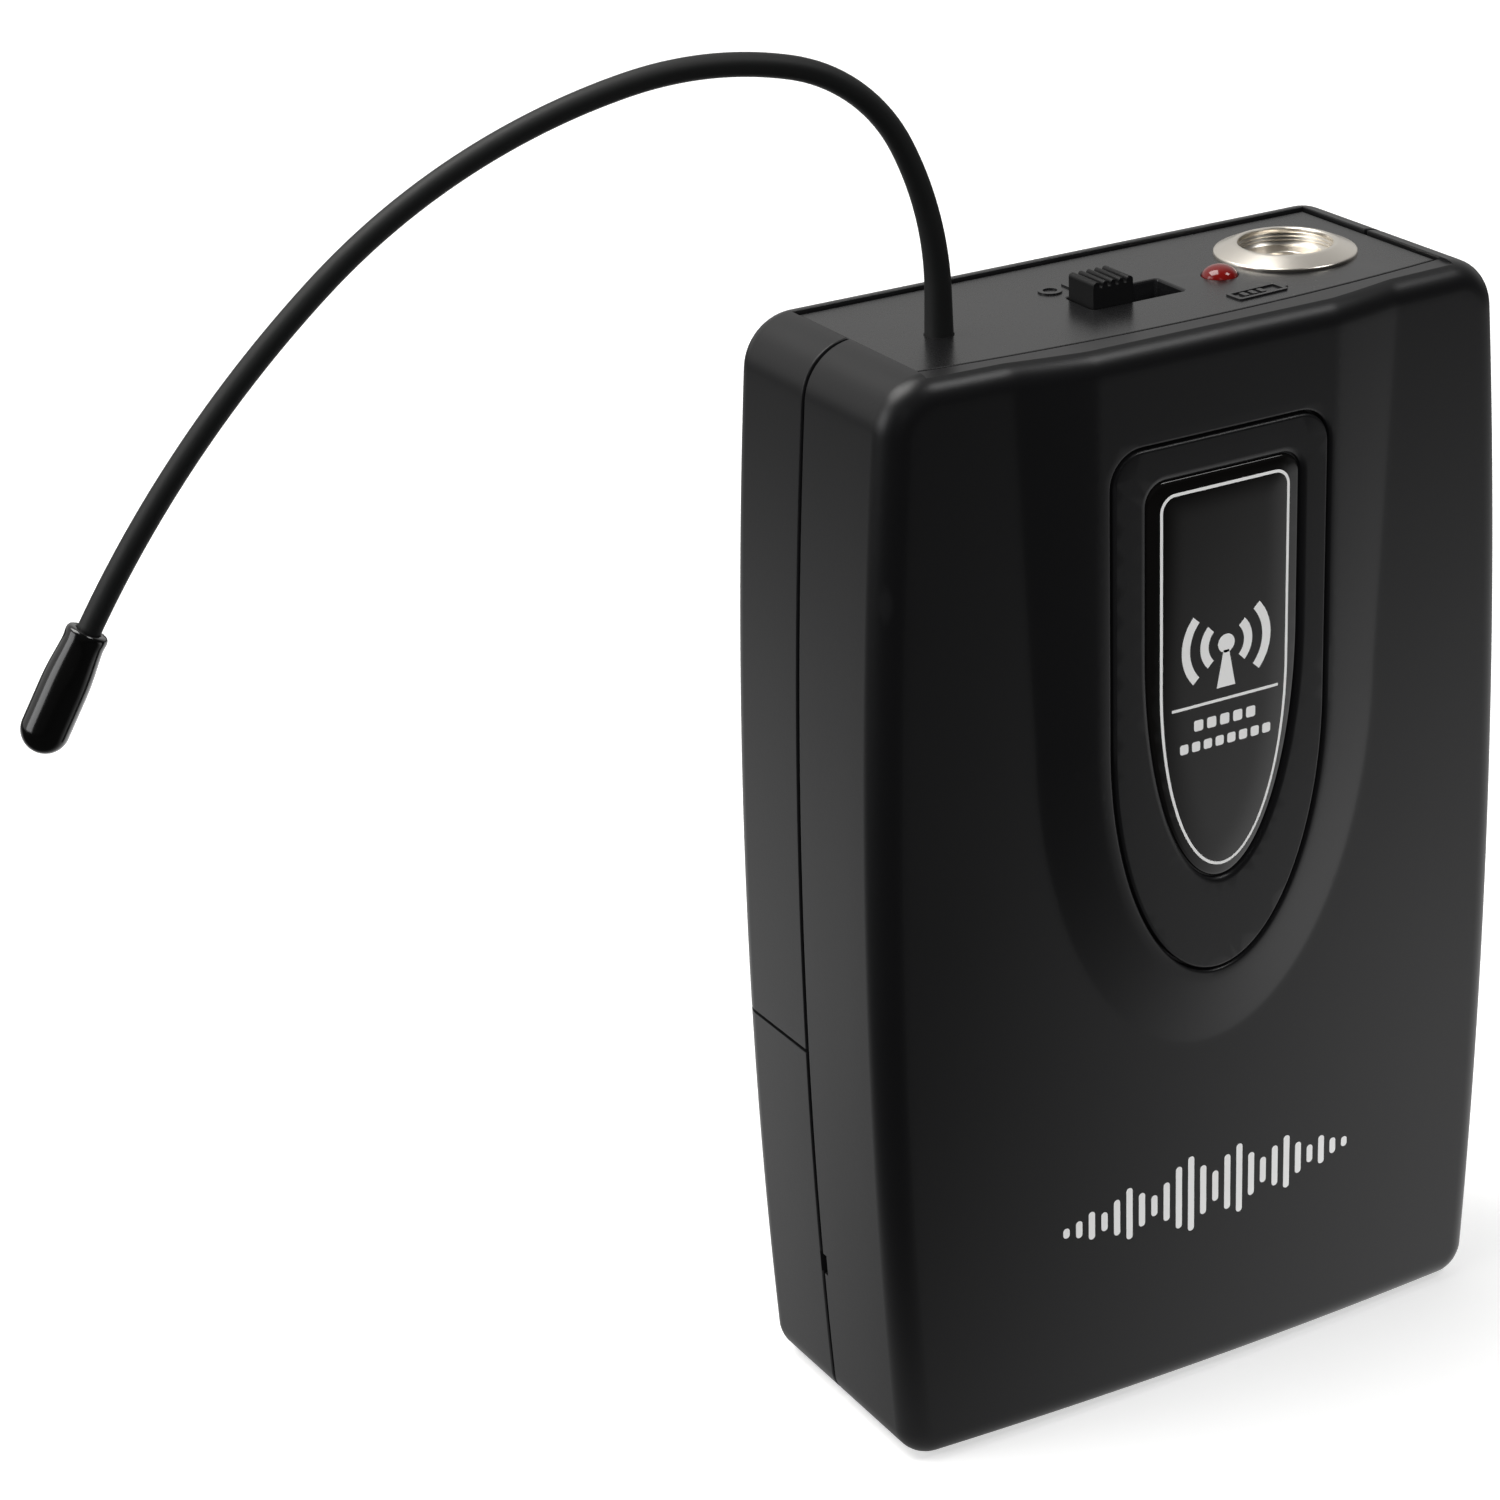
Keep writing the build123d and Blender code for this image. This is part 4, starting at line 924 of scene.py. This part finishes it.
WHIP_PATH, END_REACH, END_Z, END_HEADING = whip_path()


def make_cable():
    sides = 28
    skin = Skin()
    rings = []
    for point, direction in WHIP_PATH:
        across = np.cross(direction, WHIP_SIDE)
        # the cable is thicker near the case and thins out on the rising part
        rising = point[0] > AERIAL[0] - 6
        swell = min(max((118.0 - point[2]) / 18.0, 0.0), 1.0) if rising else 0.0
        radius = WIRE_RADIUS + WIRE_SWELL * swell * swell
        angles = [2 * math.pi * k / sides for k in range(sides)]
        rings.append(skin.add([point + radius * (math.cos(a) * WHIP_SIDE + math.sin(a) * across)
                               for a in angles]))
    skin.tube(rings)
    cable = skin.make("antenna_cable")
    return deliver(cable, 50, "cable_jacket", "antenna_stub", "antenna_whip")


def make_end_cap():
    overlap = 2.0               # length of cable inside the cap
    radius, round_z = 1.95, 8.6
    # (radius, distance along the cap)
    profile = [(0, 2.25), (1.0, 2.25), (1.0, 0.12), (1.1, 0.0), (1.45, 0.0), (1.6, 0.07),
               (1.69, 0.22), (1.72, 0.42), (1.71, 0.65), (1.68, 0.9), (1.675, 1.15), (1.70, 1.6),
               (1.78, 2.4), (1.87, 3.3), (1.93, 4.2), (radius, 5.0), (radius, 7.0), (radius, 8.4)]
    profile += arc(0.0, round_z, radius, 0.0, QUARTER, 15)
    profile += [(0, round_z + radius)]
    cap = lathe(profile, "antenna_end_cap", 56)
    angle = math.radians(END_HEADING)
    seat = whip_point(END_REACH - overlap * math.cos(angle), END_Z - overlap * math.sin(angle))
    along, side = Vector(whip_direction(END_HEADING)), Vector(WHIP_SIDE)
    turn = Matrix((side, along.cross(side), along)).transposed().to_4x4()
    cap.data.transform(Matrix.Translation(Vector(seat) * MM) @ turn)
    return deliver(cap, 40, "cap_gloss", "antenna_cap")


# ----------------------------------------------------------------- belt clip
def make_belt_clip():
    """Strip that rises along the rear face, turns over and comes down as the arm."""
    bend_y, bend_z, bend_radius = 15.45, 93.0, 3.3
    half, thickness = 8.0, 0.9
    corner, corner_z = 3.5, 52.5        # rounded lower end of the arm
    arm_y, arm_z = 16.95, 58.0
    base_y = bend_y - bend_radius
    # centre line in (y, z)
    y, z, radius = circle_through((arm_y, arm_z), (16.8, 54.4), (18.8, 50.2))
    start = math.atan2(arm_z - z, arm_y - y) % (2 * math.pi)
    end = math.atan2(50.2 - z, 18.8 - y) % (2 * math.pi)
    line = np.vstack([
        np.linspace((base_y, 78.5), (base_y, bend_z), 12)[:-1],
        arc(bend_y, bend_z, bend_radius, math.pi, -math.pi, 39),
        np.linspace((bend_y + bend_radius, bend_z), (arm_y, arm_z), 30)[:-1],
        arc(y, z, radius, start, end - start, 25, last=True)])
    skin = Skin()
    rings = []
    for i, (y, z) in enumerate(line):
        along = line[min(i + 1, len(line) - 1)] - line[max(i - 1, 0)]
        along = along / np.linalg.norm(along)
        width = half
        if z < corner_z:
            width = half - corner + math.sqrt(max(corner ** 2 - (corner_z - z) ** 2, 0.01))
        section = rounded_rect(0, 0, 2 * width, thickness, 0.16, 3)
        rings.append(skin.add([(x, y - along[1] * out, z + along[0] * out)
                               for x, out in section]))
    skin.tube(rings)
    strip = skin.make("belt_clip_strip")
    for side in (-1, 1):
        boolean(strip, prism_y(circle(side * CLIP_HOLE_X, CLIP_HOLE_Z, 1.15, 32), 10, 14))
    return deliver(strip, 35, "spring_steel", "clip_base", "clip_arm")


# ------------------------------------------------------------- printed marks
INK_PROUD = 0.012


def print_mesh(name, shapes, surface, sink):
    """Thin ink pieces on a surface. A shape is a closed loop, or a pair (outer, inner)."""
    skin = Skin()

    def front_and_back(loop):
        loop = np.asarray(loop, float)
        y = surface(loop[:, 0], loop[:, 1])
        return skin.ring(loop, y - INK_PROUD), skin.ring(loop, y + sink)
    for shape in shapes:
        if isinstance(shape, tuple):
            outer_front, outer_back = front_and_back(shape[0])
            inner_front, inner_back = front_and_back(shape[1])
            skin.wrap([outer_front, outer_back, inner_back, inner_front])
        else:
            skin.tube(front_and_back(shape))
    piece = skin.make(name)
    clean(piece, split=True)
    dressing.append((piece, "ink"))
    return piece


def arc_band(x, z, radius, width, middle, half_angle, steps=24):
    """Band along an arc, half_angle to each side of middle, in degrees."""
    start, end = math.radians(middle - half_angle), math.radians(middle + half_angle)
    return (arc(x, z, radius + width / 2, start, end - start, steps, last=True)
            + arc(x, z, radius - width / 2, end, start - end, steps, last=True))


def make_label_print():
    border = (shield(BORDER, 0.0, 140), shield(BORDER, -0.27, 140))
    # a mast with two waves to each side
    x, z = 0.8, 72.2
    marks = [circle(x, z, 0.85, 32),
             [(x - 0.28, z - 0.6), (x + 0.28, z - 0.6), (x + 0.95, 68.25), (x - 0.95, 68.25)]]
    for middle in (0, 180):
        marks.append(arc_band(x, z, 2.25, 0.85, middle, 45))
        marks.append(arc_band(x, z, 4.15, 0.85, middle, 42))
    # a line with two rows of blocks below it
    marks.append(rounded_rect(0.75, 67.15, 11.0, 0.26, 0.06, 2))
    for k in range(5):
        marks.append(rounded_rect(0.7 + (k - 2) * 1.35, 65.3, 0.95, 1.0, 0.2, 3))
    for k in range(8):
        marks.append(rounded_rect(0.8 + (k - 3.5) * 1.22, 63.4, 0.85, 0.9, 0.2, 3))
    shapes = [border] + [resample(mark, 0.5) for mark in marks]
    return print_mesh("label_print", shapes, label_y, sink=0.03)


def make_front_print():
    """Row of upright bars low on the front face."""
    heights = [1.0, 1.7, 2.8, 1.9, 3.6, 5.2, 3.4, 2.1, 3.9, 6.3, 7.6, 5.0,
               3.1, 5.6, 7.0, 4.4, 2.6, 4.1, 5.4, 3.2, 1.8, 2.9, 1.6, 1.0]
    pitch, width = 1.32, 0.66
    bars = [rounded_rect(0.2 + (k - 11.5) * pitch, 19.2, width, height, 0.32, 5)
            for k, height in enumerate(heights)]
    return print_mesh("front_print", bars, lambda x, z: dome(x), sink=0.05)


# ------------------------------------------------------------------ assembly
front = make_front_shell()
rear = make_rear_shell()
door = make_battery_door()
panel = make_badge_panel()
label = make_label()
for piece in (front, rear, panel, label):
    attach(piece, "case")
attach(door, "battery_door")

plate = make_control_plate()
socket = make_socket()
lamp = make_lamp()
knob = make_knob()
cable = make_cable()
end_cap = make_end_cap()
strip = make_belt_clip()
label_print = make_label_print()
front_print = make_front_print()

for piece in (front, rear, door, panel, label, plate, socket, lamp, knob, end_cap):
    weighted = piece.modifiers.new("wn", "WEIGHTED_NORMAL")
    weighted.keep_sharp = True
    weighted.weight = 80
for piece in (plate, socket, lamp, label_print, front_print):
    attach(piece, "case")
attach(knob, "power_switch")
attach(end_cap, "antenna_whip")
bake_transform(cable)
# in metres, from the clip's base across to its arm
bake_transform(strip)


# -------------------------------------------------------------- shader nodes
def new_tree(owner):
    owner.use_nodes = True
    owner.node_tree.nodes.clear()
    return owner.node_tree


def node(tree, kind, inputs=None, **settings):
    """Adds a node. An input is given a socket to link to, or a value."""
    made = tree.nodes.new(kind)
    for key, value in settings.items():
        setattr(made, key, value)
    for key, value in (inputs or {}).items():
        if isinstance(value, bpy.types.NodeSocket):
            tree.links.new(value, made.inputs[key])
        else:
            made.inputs[key].default_value = value
    return made


def map_range(tree, value, low=0.0, high=1.0, to_low=0.0, to_high=1.0, kind="LINEAR"):
    inputs = {0: value, 1: low, 2: high, 3: to_low, 4: to_high}
    return node(tree, "ShaderNodeMapRange", inputs, interpolation_type=kind).outputs[0]


def calculate(tree, operation, *values):
    return node(tree, "ShaderNodeMath", dict(enumerate(values)), operation=operation).outputs[0]


def mix_colors(tree, factor, color0, color1):
    inputs = {0: factor, 6: color0, 7: color1}
    return node(tree, "ShaderNodeMix", inputs, data_type="RGBA").outputs[2]


def mix_by_camera(tree, unseen, seen):
    """One shader for camera rays and another for the rest."""
    path = node(tree, "ShaderNodeLightPath")
    inputs = {0: path.outputs["Is Camera Ray"], 1: unseen, 2: seen}
    return node(tree, "ShaderNodeMixShader", inputs).outputs[0]


# ----------------------------------------------------------------- materials
def material(name, color, rough=0.45, metallic=0.0, color_spread=0.12, rough_spread=0.08,
             scale=60.0, grain=900.0, bump=0.08, depth=0.00002, coat=0.0, wear=0.0,
             transmission=0.0, streak=None, specular=0.5):
    """Principled surface varied by a broad noise (scale) and a fine noise (grain).

    The spreads are the variation of colour, relative, and of roughness, absolute. bump is the
    strength of the fine relief and depth its height in metres. wear lightens raised edges.
    streak stretches the noises along x, y and z.
    """
    made = bpy.data.materials.new(name)
    tree = new_tree(made)
    place = node(tree, "ShaderNodeTexCoord").outputs["Object"]
    if streak:
        place = node(tree, "ShaderNodeMapping", {0: place, "Scale": streak}).outputs[0]
    broad, fine = [
        node(tree, "ShaderNodeTexNoise",
             {"Vector": place, "Scale": size, "Detail": detail}).outputs[0]
        for size, detail in ((scale, 4), (grain, 3))]

    def shade_of(factor, offset=0.0):
        return (*np.clip(np.array(color) * factor + offset, 0, 1), 1)
    tint = mix_colors(tree, broad, shade_of(1 - color_spread), shade_of(1 + color_spread))
    if wear > 0:
        geometry = node(tree, "ShaderNodeNewGeometry")
        edges = map_range(tree, geometry.outputs["Pointiness"], low=0.53, high=0.66)
        worn = calculate(tree, "MULTIPLY", edges, wear)
        tint = mix_colors(tree, worn, tint, shade_of(2.2, 0.01))
    blend = calculate(tree, "MULTIPLY_ADD", fine, 0.4, calculate(tree, "MULTIPLY", broad, 0.6))
    roughness = map_range(tree, blend, to_low=max(rough - rough_spread, 0.02),
                          to_high=min(rough + rough_spread, 1))
    relief = node(tree, "ShaderNodeBump", {"Strength": bump, "Distance": depth, "Height": fine})
    surface = node(tree, "ShaderNodeBsdfPrincipled", {
        "Base Color": tint,
        "Roughness": roughness,
        "Normal": relief.outputs[0],
        "Metallic": metallic,
        "IOR": 1.5,
        "Specular IOR Level": specular,
        "Coat Weight": coat,
        "Coat Roughness": 0.06,
        "Transmission Weight": transmission,
    })
    node(tree, "ShaderNodeOutputMaterial", {0: surface.outputs[0]})
    return made


MATERIAL_SPECS = {
    "case_plastic": dict(
        color=(0.0055, 0.0055, 0.0060), rough=0.37, color_spread=0.10, rough_spread=0.05,
        scale=45, grain=2600, bump=0.35, depth=0.00001, wear=0.25, specular=0.48),
    "plate_plastic": dict(
        color=(0.008, 0.008, 0.0085), rough=0.27, color_spread=0.10, rough_spread=0.05,
        scale=70, grain=2200, bump=0.2, depth=0.00001, wear=0.2),
    "label_gloss": dict(
        color=(0.0045, 0.0042, 0.0040), rough=0.08, color_spread=0.15, rough_spread=0.03,
        scale=30, grain=180, bump=0.05, coat=0.6),
    "nickel": dict(
        color=(0.86, 0.81, 0.73), rough=0.30, metallic=1.0, color_spread=0.04,
        rough_spread=0.06, scale=140, grain=3500, bump=0.12, depth=0.000006),
    "insulator": dict(color=(0.012, 0.012, 0.012), rough=0.5, grain=1500),
    "gold": dict(
        color=(0.83, 0.62, 0.28), rough=0.22, metallic=1.0, color_spread=0.06,
        rough_spread=0.06, scale=200),
    "wire_insulation": dict(color=(0.45, 0.03, 0.025), rough=0.45, color_spread=0.15),
    "led_red": dict(
        color=(0.17, 0.006, 0.005), rough=0.12, rough_spread=0.04, scale=300, bump=0.05,
        coat=0.3, transmission=0.1),
    "tinned": dict(
        color=(0.62, 0.63, 0.64), rough=0.32, metallic=1.0, color_spread=0.10,
        rough_spread=0.1, scale=180, grain=1500, bump=0.2),
    "steel": dict(
        color=(0.52, 0.53, 0.54), rough=0.30, metallic=1.0, color_spread=0.10,
        rough_spread=0.1, scale=220, grain=1800, bump=0.2, wear=0.3),
    "spring_steel": dict(
        color=(0.50, 0.51, 0.53), rough=0.26, metallic=1.0, color_spread=0.08, bump=0.25,
        streak=(8, 1, 0.6), wear=0.3),
    "phenolic": dict(color=(0.20, 0.11, 0.045), rough=0.55, color_spread=0.25, scale=120),
    "knob_plastic": dict(
        color=(0.0022, 0.0022, 0.0024), rough=0.52, rough_spread=0.06, scale=220, grain=2600,
        bump=0.3, depth=0.00001, wear=0.2, specular=0.3),
    "board": dict(
        color=(0.01, 0.10, 0.035), rough=0.30, color_spread=0.25, scale=160, grain=600,
        coat=0.4),
    "ic_black": dict(color=(0.02, 0.02, 0.022), rough=0.55, grain=1800, bump=0.3),
    "capacitor": dict(color=(0.02, 0.03, 0.10), rough=0.30, color_spread=0.15),
    "aluminium": dict(
        color=(0.70, 0.71, 0.72), rough=0.30, metallic=1.0, color_spread=0.06, scale=150),
    "ferrite": dict(color=(0.06, 0.055, 0.055), rough=0.6, color_spread=0.2),
    "trimmer_blue": dict(color=(0.03, 0.10, 0.40), rough=0.35),
    "trimmer_white": dict(color=(0.75, 0.75, 0.70), rough=0.40, color_spread=0.06),
    "tray_plastic": dict(color=(0.006, 0.006, 0.0065), rough=0.50, grain=1800, bump=0.3),
    "cell": dict(color=(0.60, 0.42, 0.10), rough=0.30, metallic=0.6, coat=0.3),
    "rubber": dict(color=(0.012, 0.012, 0.012), rough=0.6, grain=1500, bump=0.3),
    "cable_jacket": dict(
        color=(0.0055, 0.0058, 0.0058), rough=0.60, color_spread=0.18, scale=160, grain=2400,
        bump=0.4, depth=0.00001),
    "brass": dict(
        color=(0.70, 0.52, 0.24), rough=0.28, metallic=1.0, color_spread=0.10, scale=150),
    "cap_gloss": dict(
        color=(0.003, 0.003, 0.003), rough=0.17, color_spread=0.15, rough_spread=0.04,
        scale=90, grain=400, coat=0.4),
}
MATERIALS = {name: material(name, **spec) for name, spec in MATERIAL_SPECS.items()}
MATERIALS["ink"] = material(
    "white_ink", color=(0.93, 0.93, 0.92), rough=0.40, color_spread=0.03, rough_spread=0.06,
    scale=220, grain=2600, bump=0.3, depth=0.000004)


def dress(piece, key):
    piece.data.materials.clear()
    piece.data.materials.append(MATERIALS[key])


slot_of = {}
for part in frame["record"]["subparts"]:
    part_name = part.get("node") or part.get("name")
    slot_of[part_name] = part.get("material") or part.get("slot") or part.get("material_slot")
for part_name, piece in frame["nodes"].items():
    slot = slot_of.get(part_name)
    dress(piece, slot if slot in MATERIALS else "tray_plastic")
for piece, key in dressing:
    dress(piece, key)


# ---------------------------------------- floor, light and camera, in metres
def floor_material():
    """Pale to the camera; as a light, a glow on the floor that fades out from the case."""
    made = bpy.data.materials.new("floor")
    tree = new_tree(made)
    seen = node(tree, "ShaderNodeBsdfPrincipled", {
        "Base Color": (0.86, 0.86, 0.86, 1),
        "Roughness": 0.8,
        "Emission Color": (1, 1, 1, 1),
        "Emission Strength": 0.42,
    })
    place = node(tree, "ShaderNodeTexCoord").outputs["Object"]
    # the glow grows towards +x and +y
    toward = node(tree, "ShaderNodeVectorMath", {0: place, 1: (0.75, 0.66, 0.0)},
                  operation="DOT_PRODUCT").outputs["Value"]
    away = node(tree, "ShaderNodeVectorMath", {0: place}, operation="LENGTH").outputs["Value"]
    side = map_range(tree, toward, low=-0.070, high=0.026, to_low=0.02, to_high=1.0,
                     kind="SMOOTHSTEP")
    near = map_range(tree, away, low=0.10, high=0.25, to_low=1.0, to_high=0.56)
    far = map_range(tree, away, low=0.25, high=0.42, to_low=1.0, to_high=0.12)
    glow = calculate(tree, "MULTIPLY", side, calculate(tree, "MULTIPLY", near, far))
    brightness = 0.96
    felt = node(tree, "ShaderNodeEmission",
                {0: (1, 1, 1, 1), 1: calculate(tree, "MULTIPLY", glow, brightness)})
    surface = mix_by_camera(tree, unseen=felt.outputs[0], seen=seen.outputs[0])
    node(tree, "ShaderNodeOutputMaterial", {0: surface})
    return made


def make_floor():
    mesh = bpy.data.meshes.new("floor")
    corners = [(-2.5, -2.5, 0), (2.5, -2.5, 0), (2.5, 3.5, 0), (-2.5, 3.5, 0)]
    mesh.from_pydata(corners, [], [(0, 1, 2, 3)])
    floor = add_object("floor", mesh)
    floor.location.z = -0.00005
    floor.data.materials.append(floor_material())


def make_world():
    """Light that grows towards +y, and an even pale ground for the camera."""
    world = bpy.data.worlds.new("studio")
    bpy.context.scene.world = world
    tree = new_tree(world)
    place = node(tree, "ShaderNodeTexCoord").outputs["Generated"]
    height_y = node(tree, "ShaderNodeSeparateXYZ", {0: place}).outputs[1]
    strength = map_range(tree, height_y, low=-0.35, high=0.55, to_low=0.015, to_high=0.55,
                         kind="SMOOTHSTEP")
    light = node(tree, "ShaderNodeBackground", {0: (1, 0.995, 0.985, 1), 1: strength})
    pale = node(tree, "ShaderNodeBackground", {0: (1, 1, 1, 1), 1: 0.95})
    surface = mix_by_camera(tree, unseen=light.outputs[0], seen=pale.outputs[0])
    node(tree, "ShaderNodeOutputWorld", {0: surface})


def softbox(name, location, target, size, power, color=(1, 1, 1)):
    light = bpy.data.lights.new(name, "AREA")
    light.energy = power
    light.color = color
    light.size = size
    made = add_object(name, light)
    made.location = location
    made.rotation_mode = "QUATERNION"
    aim = Vector(target) - Vector(location)
    made.rotation_quaternion = aim.to_track_quat("-Z", "Y")
    return made


def make_lights():
    softbox("key", location=(-0.35, 0.25, 1.0), target=(0, 0, 0.05), size=0.7, power=9.0,
            color=(1.0, 0.99, 0.97))
    softbox("side", location=(-0.9, 0.15, 0.35), target=(0, 0, 0.05), size=0.5, power=2.0,
            color=(0.98, 0.99, 1.0))
    softbox("fill", location=(0.52, -0.48, 1.0), target=(0, 0, 0.08), size=0.35, power=2.6)
    front_light = softbox("front", location=(-0.55, -1.0, 0.5), target=(0, 0, 0.06), size=0.4,
                          power=8.5)
    front_light.visible_glossy = False


def make_camera():
    lens = bpy.data.cameras.new("camera")
    camera = add_object("camera", lens)
    right = Vector((0.87144014, -0.48891202, -0.03946031))
    up = Vector((0.22612066, 0.32904017, 0.9168435))
    back = Vector((-0.43527178, -0.80789703, 0.39729192))
    turn = Matrix((right, up, back)).transposed().to_4x4()
    camera.matrix_world = Matrix.Translation((-0.18225184, -0.26945469, 0.19871594)) @ turn
    lens.sensor_width = 36
    lens.lens = 95.2896
    lens.clip_start, lens.clip_end = 0.01, 20
    bpy.context.scene.camera = camera


make_floor()
make_world()
make_lights()
make_camera()
bpy.context.scene.view_settings.view_transform = "Standard"
bpy.context.scene.view_settings.look = "None"
